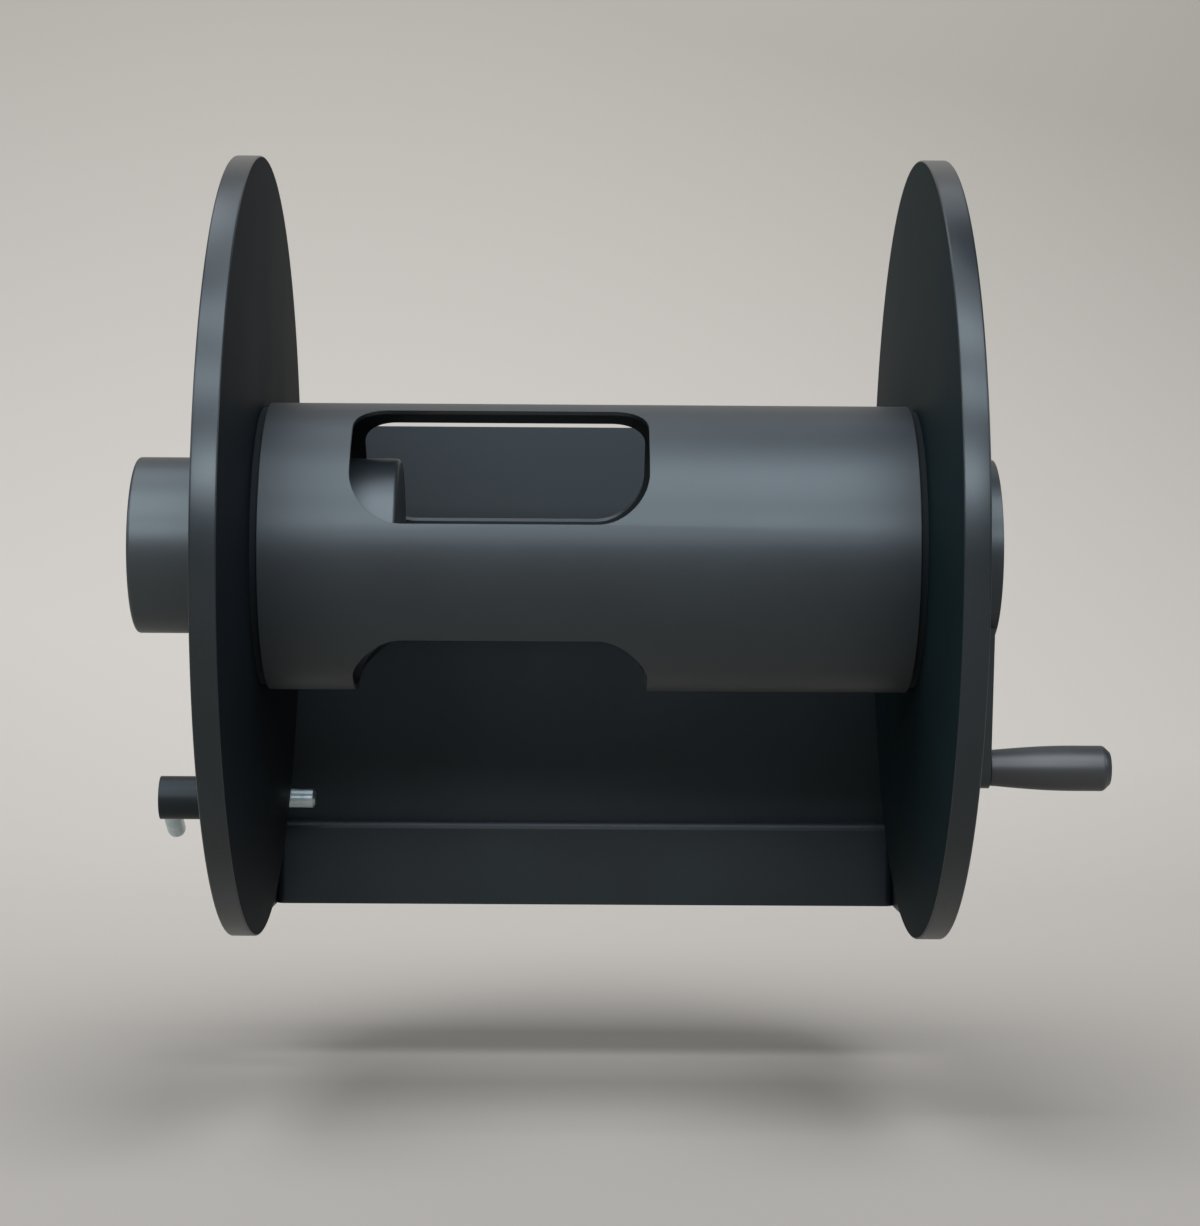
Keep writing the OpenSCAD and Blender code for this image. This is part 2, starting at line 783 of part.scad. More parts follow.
module inlet_fitting() {
    color(brass)
    on_axis()
    difference() {
        bar(inlet_x0, inlet_x1, inlet_body_r);
        bar(inlet_x0 - past, inlet_x0 + inlet_depth, inlet_d / 2);
        bar(inlet_x0, inlet_x1 + past, waterway_d / 2);
    }
}

module swivel_housing() {
    color(brass)
    on_axis()
    difference() {
        bar(inlet_x1, swivel_x1, swivel_r);
        bar(inlet_x1 - past, swivel_x1, waterway_d / 2);
        bar(inlet_x1 + swivel_end_t, swivel_x1 + past, rotor_r + run_fit);
    }
}

module swivel_retainer() {
    color(zinc)
    on_axis()
    ring(swivel_x1, swivel_x1 + retainer_t, swivel_r, neck_r + loose_fit);
}

module left_thrust_washer() {
    x_mid = disc_out + side_gap / 2;
    color(white_plastic)
    on_axis()
    ring(-x_mid - thrust_t / 2, -x_mid + thrust_t / 2, hub_r + left_thrust_w, hub_r + loose_fit);
}

module right_thrust_washer() {
    x_mid = disc_out + side_gap / 2;
    color(white_plastic)
    on_axis()
    ring(x_mid - thrust_t / 2, x_mid + thrust_t / 2, shaft_r + right_thrust_w, shaft_r + loose_fit);
}

module bearing_housing() {
    color(dark)
    on_axis()
    difference() {
        union() {
            bar(cheek_out, cheek_out + housing_flange_t, housing_flange_r);
            bar(cheek_out, housing_x1, housing_r);
        }
        bar(cheek_out - past, housing_x1 + past, bush_r);
        around(housing_screws_n, housing_pcd, 45)
            bar(cheek_out - past, cheek_out + housing_flange_t + past, m8_d / 2);
    }
}

module housing_screws() {
    color(zinc)
    on_axis() around(housing_screws_n, housing_pcd, 45)
        translate([cheek_out + housing_flange_t, 0, 0])
            socket_screw(m8_d, m8_head_d, m8_head_h, housing_flange_t + cheek_t);
}

module right_bush() {
    color(bronze)
    on_axis()
    ring(cheek_in, housing_x1, bush_r - seat_fit, shaft_bore_r);
}

module pin_barrel() {
    color(black)
    on_pin()
    difference() {
        bar(barrel_x0, -cheek_out, pin_barrel_d / 2);
        bar(barrel_x0 - past, -cheek_out - pin_end_wall, pin_bore_r);
        bar(barrel_x0, -cheek_out + past, pin_r + run_fit);
        rotate([-pin_handle_angle, 0, 0])
            translate([barrel_x0 - past, 0, -slot_w / 2])
                cube([pin_handle_in + past + slot_w / 2, pin_barrel_d, slot_w]);
    }
}

module pin_guide() {
    color(zinc)
    on_pin()
    ring(guide_x0, guide_x1, pin_bore_r - seat_fit, pin_r + run_fit);
}

module lock_spring() {
    color(zinc)
    on_pin()
    ring(spring_x0, spring_x1, pin_spring_r, pin_spring_r - pin_wire_d);
}

module lock_pin() {
    x0 = pin_x_bend + pin_bend_r;
    color(zinc)
    on_pin() rotate([-pin_handle_angle, 0, 0]) {
        turned([
            [0, x0], [pin_r, x0], [pin_r, collar_x0],
            [pin_collar_r, collar_x0], [pin_collar_r, collar_x1], [pin_r, collar_x1],
            [pin_r, pin_x_tip - pin_tip_edge], [pin_r - pin_tip_edge, pin_x_tip], [0, pin_x_tip]
        ]);
        translate([x0, pin_bend_r, 0]) rotate([0, 0, 180])
            rotate_extrude(angle = 90) translate([pin_bend_r, 0]) circle(pin_r);
        translate([pin_x_bend, pin_bend_r, 0]) rotate([-90, 0, 0])
            rotate_extrude() polygon([
                [0, 0], [pin_r, 0],
                for (a = [0 : 10 : 80])
                    [pin_r * cos(a), pin_handle_len - pin_bend_r + pin_r * sin(a)],
                [0, pin_handle_len - pin_bend_r + pin_r]
            ]);
    }
}

// One disc, from its inner face at x0 to its outer face, bored with the radius r.
module disc(x0, r) {
    x1 = x0 + disc_t;
    e = disc_edge_r;
    difference() {
        turned([
            [r, x0], [disc_r - e, x0],
            for (a = [15 : 15 : 75]) [disc_r - e * (1 - sin(a)), x0 + e * (1 - cos(a))],
            [disc_r, x0 + e], [disc_r, x1 - e],
            for (a = [75 : -15 : 15]) [disc_r - e * (1 - sin(a)), x1 - e * (1 - cos(a))],
            [disc_r - e, x1], [r, x1]
        ]);
        translate([x1, 0, 0]) around(disc_screws_n, disc_screw_pcd)
            flush_hole(m6_d, m6_head_d, disc_t + past);
    }
}

module left_disc() {
    color(black)
    on_axis() mirror([1, 0, 0]) disc(disc_in, left_bush_r1 + seat_fit);
}

module right_disc() {
    color(black)
    on_axis() disc(disc_in, shaft_r + loose_fit);
}

module drum_tube() {
    color(black)
    on_axis()
    difference() {
        ring(-drum_end, drum_end, drum_r, drum_bore_r);
        rotate([-front_window_angle, 0, 0])
            window_cutter(front_window_w, window_top_corner_r, window_corner_r);
        rotate([-rear_window_angle, 0, 0])
            window_cutter(rear_window_w, window_corner_r, window_top_corner_r);
        rotate([90, 0, 0])
            window_cutter(lower_window_w, window_corner_r, window_corner_r);
    }
}

// Cuts one window of width w through the front of the drum tube.
module window_cutter(w, r_up, r_low) {
    translate([window_mid_x, 0, 0]) rotate([90, 0, 0])
        linear_extrude(drum_r + past) round_rect(window_len, w, r_up, r_low);
}

// The holes for the disc screws in an end plate whose outer face is at x1.
module disc_screw_holes(x1) {
    around(disc_screws_n, disc_screw_pcd)
        bar(x1 + disc_t - disc_screw_len, x1 + past, m6_d / 2);
}

module left_end_plate() {
    color(dark)
    on_axis() mirror([1, 0, 0]) difference() {
        union() {
            bar(plate_in, disc_in, plate_r);
            bar(plate_in - bush_collar_len, disc_in, left_bush_r1 + bush_collar_wall);
        }
        bar(plate_in - bush_collar_len - past, disc_in + past, left_bush_r1 + seat_fit);
        disc_screw_holes(disc_in);
    }
}

module right_end_plate() {
    color(dark)
    on_axis() difference() {
        ring(plate_in, disc_in, plate_r, shaft_r + seat_fit);
        disc_screw_holes(disc_in);
        around(shaft_screws_n, shaft_flange_pcd)
            bar(plate_in - past, disc_in - thread_spare, m8_d / 2);
    }
}

module disc_screws() {
    translate([disc_out, 0, 0]) around(disc_screws_n, disc_screw_pcd)
        flush_screw(m6_d, m6_head_d, disc_screw_len);
}

module left_disc_screws() {
    color(dark)
    on_axis() mirror([1, 0, 0]) disc_screws();
}

module right_disc_screws() {
    color(dark)
    on_axis() disc_screws();
}

module left_bush() {
    color(white_plastic)
    on_axis()
    ring(-disc_out + face_gap, -plate_in + bush_collar_len, left_bush_r1, left_bush_r0);
}

module crank_shaft() {
    x0 = plate_in - shaft_flange_t;
    color(dark)
    on_axis()
    difference() {
        union() {
            bar(x0, plate_in, shaft_flange_r);
            bar(x0, boss_x0, shaft_r);
            bar(x0, boss_floor, spigot_d / 2);
        }
        around(shaft_screws_n, shaft_flange_pcd) bar(x0 - past, plate_in + past, m8_d / 2);
        around(crank_screws_n, crank_screw_pcd)
            bar(boss_x0 - crank_hole_depth, boss_x0 + past, m6_d / 2);
    }
}

module shaft_screws() {
    len = shaft_flange_t + end_plate_t - 2 * thread_spare;
    color(zinc)
    on_axis() around(shaft_screws_n, shaft_flange_pcd)
        translate([plate_in - shaft_flange_t, 0, 0]) mirror([1, 0, 0])
            socket_screw(m8_d, m8_head_d, m8_head_h, len);
}

module swivel_rotor() {
    color(brass)
    on_axis()
    turned([
        [waterway_d / 2, rotor_x0], [rotor_r, rotor_x0],
        for (g = [0, 1]) each rotor_groove(g),
        [rotor_r, rotor_x1], [neck_r, rotor_x1], [neck_r, outlet_x0],
        [outlet_d / 2, outlet_x0], [outlet_d / 2, outlet_x1], [waterway_d / 2, outlet_x1]
    ]);
}

// Where the middle of seal g lies along the axis.
function seal_x(g) = rotor_x0 + rotor_len * (1 + g) / 5;

// The corners of the groove for seal g.
function rotor_groove(g) = [
    [rotor_r, seal_x(g) - groove_w / 2], [groove_r, seal_x(g) - groove_w / 2],
    [groove_r, seal_x(g) + groove_w / 2], [rotor_r, seal_x(g) + groove_w / 2]
];

module swivel_seals() {
    color(dark)
    on_axis()
    for (g = [0, 1]) translate([seal_x(g), 0, 0])
        rotate([0, 90, 0]) rotate_extrude() translate([seal_mid_r, 0]) circle(seal_r, $fn = 24);
}

module drive_arm() {
    reach = drum_bore_r - seat_fit;
    color(dark)
    on_axis()
    difference() {
        intersection() {
            rotate([drive_angle, 0, 0]) union() {
                bar(drive_x0, drive_x1, neck_r + drive_collar_wall);
                translate([drive_x0, -drum_r, -drive_w / 2]) cube([drive_t, drum_r, drive_w]);
                difference() {
                    translate([drive_x0, -drum_r, -drive_w])
                        cube([2 * drive_t, drum_wall + drive_t, 2 * drive_w]);
                    bar(drive_x0 - past, drive_x0 + 3 * drive_t, reach - drive_t / 2);
                }
            }
            bar(drive_x0, drive_x0 + 2 * drive_t, reach);
        }
        bar(drive_x0 - past, drive_x1 + past, neck_r + seat_fit);
    }
}

module crank_arm() {
    hole_x = boss_x0 - past;
    root = [0, 0];
    tip = [0, -crank_r];
    t = arm_tip_w / 2;
    w = arm_root_w / 2;
    lean = asin((w - t) / crank_r);
    color(black)
    on_axis()
    difference() {
        union() {
            bar(boss_x0, boss_x1, boss_d / 2);
            plate(boss_x0, arm_x1) union() {
                polygon([
                    [-w * cos(lean), -w * sin(lean)],
                    tip + [-t * cos(lean), -t * sin(lean)],
                    tip + [t * cos(lean), -t * sin(lean)],
                    [w * cos(lean), -w * sin(lean)], root
                ]);
                translate(tip) circle(t);
            }
        }
        bar(hole_x, boss_x1 + past, spigot_d / 2 + seat_fit);
        bar(boss_floor, boss_x1 + past, cap_r);
        around(crank_screws_n, crank_screw_pcd) bar(hole_x, boss_x1, m6_d / 2);
        translate([0, 0, -crank_r]) bar(hole_x, arm_x1 + past, spindle_thread_d / 2);
    }
}

module crank_screws() {
    color(zinc)
    on_axis() around(crank_screws_n, crank_screw_pcd)
        translate([boss_floor, 0, 0])
            socket_screw(m6_d, m6_head_d, m6_head_h, spigot_len + crank_hole_depth - thread_spare);
}

module crank_cap() {
    color(dark)
    on_axis() bar(cap_x0, cap_x1, cap_r - seat_fit);
}

module handle_spindle() {
    color(zinc)
    on_handle()
    difference() {
        union() {
            bar(nut_x0 - past, arm_x1 + eps, spindle_thread_d / 2 - seat_fit);
            bar(arm_x1, spindle_x1, spindle_d / 2);
            bar(spindle_head_x, spindle_x1, spindle_head_r);
        }
        hex_bar(spindle_x1 - socket_depth, spindle_x1 + past, socket_af);
    }
}

module handle_nut() {
    color(zinc)
    on_handle()
    difference() {
        hex_bar(nut_x0, boss_x0, nut_af);
        bar(nut_x0 - past, boss_x0 + past, spindle_thread_d / 2);
    }
}

// How far the grip has swelled at the share s of its swelling stretch.
function swell(s) = sin(90 * s);

module handle_grip() {
    neck_r = grip_neck_d / 2;
    r = grip_d / 2;
    x_swell = grip_x0 + grip_neck_len;
    color(dark)
    on_handle()
    difference() {
        turned([
            [spindle_d / 2 + run_fit, grip_x0], [neck_r - grip_edge, grip_x0],
            [neck_r, grip_x0 + grip_edge],
            for (i = [0 : 12])
                [neck_r + (r - neck_r) * swell(i / 12), x_swell + grip_swell_len * i / 12],
            [r, grip_x1 - grip_end_len], [grip_end_d / 2, grip_x1],
            [spindle_d / 2 + run_fit, grip_x1]
        ]);
        bar(grip_x1 - grip_bore_depth, grip_x1 + past, spindle_head_r + loose_fit);
    }
}

module grip_plug() {
    color(dark)
    on_handle()
    bar(grip_x1 - grip_plug_t - face_gap / 2, grip_x1 - face_gap / 2,
        spindle_head_r + loose_fit - seat_fit);
}

back_panel();
base_rail();
left_cheek();
right_cheek();
hanger_studs();
tie_rod();
tie_screws();
hub_tube();
hub_flange();
hub_flange_screws();
hub_outer_plate();
hub_inner_plate();
inlet_fitting();
swivel_housing();
swivel_retainer();
left_thrust_washer();
right_thrust_washer();
bearing_housing();
housing_screws();
right_bush();
pin_barrel();
pin_guide();
lock_spring();
lock_pin();
left_disc();
right_disc();
drum_tube();
left_end_plate();
right_end_plate();
left_disc_screws();
right_disc_screws();
left_bush();
crank_shaft();
shaft_screws();
swivel_rotor();
swivel_seals();
drive_arm();
crank_arm();
crank_screws();
crank_cap();
handle_spindle();
handle_nut();
handle_grip();
grip_plug();
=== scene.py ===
import json
import math

import bmesh
import bpy
from mathutils import Matrix, Vector


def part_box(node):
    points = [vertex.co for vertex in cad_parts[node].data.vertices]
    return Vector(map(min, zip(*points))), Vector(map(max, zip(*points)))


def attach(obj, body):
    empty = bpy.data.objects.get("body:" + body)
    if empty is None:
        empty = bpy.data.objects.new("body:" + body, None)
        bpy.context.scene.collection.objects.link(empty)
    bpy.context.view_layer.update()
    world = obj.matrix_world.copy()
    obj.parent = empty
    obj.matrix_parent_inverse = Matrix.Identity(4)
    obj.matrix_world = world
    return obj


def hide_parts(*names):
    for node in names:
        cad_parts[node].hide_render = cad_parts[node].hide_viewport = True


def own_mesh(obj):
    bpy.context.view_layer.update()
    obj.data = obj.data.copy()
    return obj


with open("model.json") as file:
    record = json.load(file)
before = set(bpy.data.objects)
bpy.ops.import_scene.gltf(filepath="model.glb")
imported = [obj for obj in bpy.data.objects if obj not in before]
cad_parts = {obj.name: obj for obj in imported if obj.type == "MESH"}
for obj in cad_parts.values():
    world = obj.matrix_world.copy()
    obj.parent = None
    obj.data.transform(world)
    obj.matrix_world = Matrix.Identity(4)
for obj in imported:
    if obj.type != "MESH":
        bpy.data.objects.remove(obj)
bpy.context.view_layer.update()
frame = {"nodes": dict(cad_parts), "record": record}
nodes = frame["nodes"]
mm = 0.001
metre = 1000  # in millimetres, for the scale of a pattern
print("frame loaded:", len(nodes), "nodes")


def centreOf(node):
    low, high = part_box(node)
    return (low + high) / 2


drumAxisY = centreOf("drum_tube").y
gripAxis = centreOf("handle_grip")
pinAxis = centreOf("pin_barrel")

# The camera stands where the photograph was taken: level with the drum, just left of its middle.
cameraSetup = {
    "place": (-7.37, -2169.83, -34.27),  # millimetres
    "yaw": 0.451,  # these three in degrees
    "pitch": 1.081,
    "roll": 0.350,
    "lens": 83.96,
    "sensor": 36.0,
    "shiftY": -67 / 1226,  # the vanishing point lies 67 pixels above the middle
    "near": 0.05,
    "far": 60.0,
}


def makeCamera():
    yaw, pitch, roll = (math.radians(cameraSetup[k]) for k in ("yaw", "pitch", "roll"))
    ahead = Vector((math.sin(yaw) * math.cos(pitch), math.cos(yaw) * math.cos(pitch),
                    math.sin(pitch)))
    level = Vector((math.cos(yaw), -math.sin(yaw), 0))
    upright = level.cross(ahead)
    right = level * math.cos(roll) + upright * math.sin(roll)
    up = upright * math.cos(roll) - level * math.sin(roll)
    turn = Matrix((right, up, -ahead)).transposed()
    data = bpy.data.cameras.new("photoCamera")
    data.lens = cameraSetup["lens"]
    data.sensor_width = cameraSetup["sensor"]
    data.shift_y = cameraSetup["shiftY"]
    data.clip_start = cameraSetup["near"]
    data.clip_end = cameraSetup["far"]
    camera = bpy.data.objects.new("photoCamera", data)
    camera.matrix_world = Matrix.Translation(Vector(cameraSetup["place"]) * mm) @ turn.to_4x4()
    bpy.context.scene.collection.objects.link(camera)
    bpy.context.scene.camera = camera


makeCamera()
print("camera placed")


def linear(hexCode):
    parts = [int(hexCode[i:i + 2], 16) / 255 for i in (1, 3, 5)]
    return [c / 12.92 if c <= 0.04045 else ((c + 0.055) / 1.055) ** 2.4 for c in parts] + [1.0]


# Adds a node, sets its properties, and sets or links its inputs by name or by index.
def addNode(tree, kind, settings=None, inputs=None):
    node = tree.nodes.new(kind)
    for key, value in (settings or {}).items():
        setattr(node, key, value)
    for key, value in (inputs or {}).items():
        if isinstance(value, bpy.types.NodeSocket):
            tree.links.new(value, node.inputs[key])
        else:
            node.inputs[key].default_value = value
    return node


def startMaterial(name):
    material = bpy.data.materials.new(name)
    material.use_nodes = True
    tree = material.node_tree
    tree.nodes.clear()
    return material, tree, addNode(tree, "ShaderNodeTexCoord").outputs["Object"]


def finishMaterial(material, tree, shader):
    addNode(tree, "ShaderNodeOutputMaterial", None, {"Surface": shader.outputs[0]})
    return material


# Polyester powder coat, sprayed and baked: satin, with a shallow orange peel, slow drifts of tone
# and gloss, and a thinner, lighter line where it draws back from an edge.
powderSetup = {
    "driftScale": 11.0,  # clouds of tone about 90 mm across
    "speckShare": 0.35,  # how much the specks add to the clouds
    "mottle": (0.45, 0.9),  # the span of the noise that runs from dark to light
    "edgeSamples": 4,
    "edgeBend": (0.995, 0.86),  # cosines of the bend where the line starts and where it is full
    "edgeShare": 0.55,  # how far the line goes towards the worn tone
    "gloss": (-0.02, 0.03),  # added to a coat's roughness
    "peelDepth": 0.3 * mm,
    "ior": 1.5,
}


def powderCoat(name, coat):
    setup = powderSetup
    material, tree, coords = startMaterial(name)
    drift = addNode(tree, "ShaderNodeTexNoise", None,
                    {"Vector": coords, "Scale": setup["driftScale"], "Detail": 3.0})
    speck = addNode(tree, "ShaderNodeTexNoise", None,
                    {"Vector": coords, "Scale": metre / coat["speckSize"], "Detail": 2.0})
    mottle = addNode(tree, "ShaderNodeMath", {"operation": "MULTIPLY_ADD"},
                     {0: speck.outputs["Fac"], 1: setup["speckShare"], 2: drift.outputs["Fac"]})
    share = addNode(tree, "ShaderNodeMapRange", None,
                    {"Value": mottle.outputs[0],
                     "From Min": setup["mottle"][0], "From Max": setup["mottle"][1]})
    tone = addNode(tree, "ShaderNodeMix", {"data_type": "RGBA"},
                   {"Factor": share.outputs["Result"],
                    "A": linear(coat["dark"]), "B": linear(coat["light"])})
    rounded = addNode(tree, "ShaderNodeBevel", {"samples": setup["edgeSamples"]},
                      {"Radius": coat["edge"] * mm})
    facing = addNode(tree, "ShaderNodeNewGeometry")
    bend = addNode(tree, "ShaderNodeVectorMath", {"operation": "DOT_PRODUCT"},
                   {0: rounded.outputs["Normal"], 1: facing.outputs["Normal"]})
    edge = addNode(tree, "ShaderNodeMapRange", None,
                   {"Value": bend.outputs["Value"],
                    "From Min": setup["edgeBend"][0], "From Max": setup["edgeBend"][1],
                    "To Min": 0.0, "To Max": setup["edgeShare"]})
    worn = addNode(tree, "ShaderNodeMix", {"data_type": "RGBA"},
                   {"Factor": edge.outputs["Result"], "A": tone.outputs["Result"],
                    "B": linear(coat["worn"])})
    gloss = addNode(tree, "ShaderNodeMapRange", None,
                    {"Value": mottle.outputs[0],
                     "From Min": setup["mottle"][0], "From Max": setup["mottle"][1],
                     "To Min": coat["roughness"] + setup["gloss"][0],
                     "To Max": coat["roughness"] + setup["gloss"][1]})
    peel = addNode(tree, "ShaderNodeTexNoise", None,
                   {"Vector": coords, "Scale": metre / coat["peelSize"], "Detail": 2.0,
                    "Roughness": 0.45})
    bump = addNode(tree, "ShaderNodeBump", None,
                   {"Height": peel.outputs["Fac"], "Strength": coat["peel"],
                    "Distance": setup["peelDepth"], "Normal": rounded.outputs["Normal"]})
    # the highlight tint is a painted cool tint on the coat's reflections
    shader = addNode(tree, "ShaderNodeBsdfPrincipled", None,
                     {"Base Color": worn.outputs["Result"], "Roughness": gloss.outputs["Result"],
                      "IOR": setup["ior"], "Specular IOR Level": coat["specular"],
                      "Specular Tint": linear(coat["paintedHighlightTint"]), "Normal": bump.outputs["Normal"]})
    return finishMaterial(material, tree, shader)


# A turned or plated metal: fine tool lines round the axis, and a little cloudiness in its tone
# and gloss, as thin plating has. In life the lines are 0.1 to 0.2 mm apart, and they are drawn
# wider here, so that they show.
metalSetup = {
    "cloudScale": 70.0,  # clouds about 14 mm across
    "clouds": (0.3, 0.7),
    "gloss": (-0.05, 0.05),
    "squeeze": (1, 0.02, 0.02),  # stretches the noise into lines round the X axis
    "lineDepth": 0.1 * mm,
}


def turnedMetal(name, metal):
    setup = metalSetup
    material, tree, coords = startMaterial(name)
    cloud = addNode(tree, "ShaderNodeTexNoise", None,
                    {"Vector": coords, "Scale": setup["cloudScale"], "Detail": 3.0})
    share = addNode(tree, "ShaderNodeMapRange", None,
                    {"Value": cloud.outputs["Fac"],
                     "From Min": setup["clouds"][0], "From Max": setup["clouds"][1]})
    tone = addNode(tree, "ShaderNodeMix", {"data_type": "RGBA"},
                   {"Factor": share.outputs["Result"],
                    "A": linear(metal["dark"]), "B": linear(metal["light"])})
    along = addNode(tree, "ShaderNodeMapping", None,
                    {"Vector": coords, "Scale": setup["squeeze"]})
    lines = addNode(tree, "ShaderNodeTexNoise", None,
                    {"Vector": along.outputs["Vector"], "Scale": metre / metal["lineWidth"],
                     "Detail": 1.0})
    gloss = addNode(tree, "ShaderNodeMapRange", None,
                    {"Value": cloud.outputs["Fac"],
                     "From Min": setup["clouds"][0], "From Max": setup["clouds"][1],
                     "To Min": metal["roughness"] + setup["gloss"][0],
                     "To Max": metal["roughness"] + setup["gloss"][1]})
    bump = addNode(tree, "ShaderNodeBump", None,
                   {"Height": lines.outputs["Fac"], "Strength": metal["depth"],
                    "Distance": setup["lineDepth"]})
    shader = addNode(tree, "ShaderNodeBsdfPrincipled", None,
                     {"Base Color": tone.outputs["Result"], "Metallic": 1.0,
                      "Roughness": gloss.outputs["Result"], "Normal": bump.outputs["Normal"]})
    return finishMaterial(material, tree, shader)


# Injection-moulded plastic with the fine matt grain of a spark-eroded mould. In life the grain is
# about 0.1 mm across, and it is drawn coarser here, so that it shows.
plasticSetup = {
    "driftScale": 18.0,  # clouds about 55 mm across
    "drift": (0.3, 0.7),
    "gloss": (-0.03, 0.03),
    "softness": 0.6,
    "grainDepth": 0.1 * mm,
    "ior": 1.49,
}


def mouldedPlastic(name, plastic):
    setup = plasticSetup
    material, tree, coords = startMaterial(name)
    drift = addNode(tree, "ShaderNodeTexNoise", None,
                    {"Vector": coords, "Scale": setup["driftScale"], "Detail": 2.0})
    tone = addNode(tree, "ShaderNodeMix", {"data_type": "RGBA"},
                   {"Factor": drift.outputs["Fac"],
                    "A": linear(plastic["dark"]), "B": linear(plastic["light"])})
    gloss = addNode(tree, "ShaderNodeMapRange", None,
                    {"Value": drift.outputs["Fac"],
                     "From Min": setup["drift"][0], "From Max": setup["drift"][1],
                     "To Min": plastic["roughness"] + setup["gloss"][0],
                     "To Max": plastic["roughness"] + setup["gloss"][1]})
    grain = addNode(tree, "ShaderNodeTexVoronoi", {"feature": "SMOOTH_F1"},
                    {"Vector": coords, "Scale": metre / plastic["grainSize"],
                     "Smoothness": setup["softness"]})
    bump = addNode(tree, "ShaderNodeBump", None,
                   {"Height": grain.outputs["Distance"], "Strength": plastic["depth"],
                    "Distance": setup["grainDepth"]})
    shader = addNode(tree, "ShaderNodeBsdfPrincipled", None,
                     {"Base Color": tone.outputs["Result"], "Roughness": gloss.outputs["Result"],
                      "IOR": setup["ior"], "Specular IOR Level": plastic["specular"],
                      "Normal": bump.outputs["Normal"]})
    return finishMaterial(material, tree, shader)


# The coats differ a little in tone and gloss from piece to piece. Their highlights carry a painted
# cool tint, and worn is the tone on their edges. Sizes and edge are millimetres. An orange peel is
# 1 to 3 mm across in life. The specks are finer in life, and are drawn coarser here, so that they
# show.
plainCoat = {"roughness": 0.46, "specular": 0.55, "paintedHighlightTint": "#e9f6f8", "worn": "#3a3e41",
             "edge": 0.8, "peel": 0.05, "peelSize": 1.8, "speckSize": 2.6}
coats = {
    "framePowderCoat": {"dark": "#13181b", "light": "#191e22", "specular": 0.4},
    "railPowderCoat": {"dark": "#14191c", "light": "#1a2024", "roughness": 0.42,
                       "specular": 0.4},
    "hubPowderCoat": {"dark": "#181c20", "light": "#1f2428", "roughness": 0.43,
                      "specular": 1.0},
    "drumPowderCoat": {"dark": "#171b1f", "light": "#1d2226", "roughness": 0.42,
                       "specular": 0.75, "edge": 0.4, "worn": "#262a2e"},
    "crankPowderCoat": {"dark": "#171b1e", "light": "#1d2226", "roughness": 0.38,
                        "specular": 0.75},
    "rimPowderCoat": {"dark": "#171b1d", "light": "#1d2124", "roughness": 0.29,
                      "specular": 0.5},
    # the end plates' coat is darker, a painted shade of the gap between the drum and the discs
    "plateGapShadeCoat": {"dark": "#101315", "light": "#15191b", "roughness": 0.62,
                        "specular": 0.15, "edge": 0.4, "worn": "#1c2022"},
    "leftFacePowderCoat": {"dark": "#11171b", "light": "#151b20", "roughness": 0.62,
                           "specular": 0.05, "peelSize": 1.2, "peel": 0.10},
    # the right face is the left face's coat with a painted teal reflection in its colour
    "rightFaceTealReflectionCoat": {"dark": "#0f1c1f", "light": "#132124", "roughness": 0.62,
                            "specular": 0.05, "peelSize": 1.2, "peel": 0.10},
}
metals = {
    # zinc plate on steel: bright, bluish and a little cloudy
    "zincPlate": {"dark": "#b9cccf", "light": "#dbe7e8", "roughness": 0.40,
                  "lineWidth": 0.6, "depth": 0.10},
    # turned steel: bare, grey and fairly bright
    "turnedSteel": {"dark": "#8f9294", "light": "#a9abac", "roughness": 0.32,
                    "lineWidth": 0.5, "depth": 0.10},
    # drawn spring wire: grey and smooth
    "springWire": {"dark": "#85878a", "light": "#9b9da0", "roughness": 0.35,
                   "lineWidth": 0.4, "depth": 0.10},
    # turned brass: warm yellow with clear tool lines
    "turnedBrass": {"dark": "#a98446", "light": "#c7a363", "roughness": 0.30,
                    "lineWidth": 0.6, "depth": 0.10},
    # sintered bronze: brown and half matt, from its pores
    "sinteredBronze": {"dark": "#8a6238", "light": "#a1774a", "roughness": 0.48,
                       "lineWidth": 0.8, "depth": 0.25},
    # black oxide on steel: near black, with a dull metal gloss
    "blackOxide": {"dark": "#1c1d1f", "light": "#2c2d30", "roughness": 0.38,
                   "lineWidth": 0.5, "depth": 0.10},
}
plastics = {
    # acetal: milky and smooth
    "acetal": {"dark": "#cfcbbd", "light": "#dad6ca", "roughness": 0.42, "specular": 0.5,
               "grainSize": 0.7, "depth": 0.12},
    # nitrile rubber: black and matt
    "sealRubber": {"dark": "#141414", "light": "#1b1b1b", "roughness": 0.60, "specular": 0.5,
                   "grainSize": 0.5, "depth": 0.12},
    # black nylon: satin, with a broad pale highlight
    "gripNylon": {"dark": "#181c1f", "light": "#22272a", "roughness": 0.44, "specular": 1.0,
                  "grainSize": 0.7, "depth": 0.14},
}
finishes = {name: powderCoat(name, {**plainCoat, **coat}) for name, coat in coats.items()}
finishes.update({name: turnedMetal(name, metal) for name, metal in metals.items()})
finishes.update({name: mouldedPlastic(name, plastic) for name, plastic in plastics.items()})

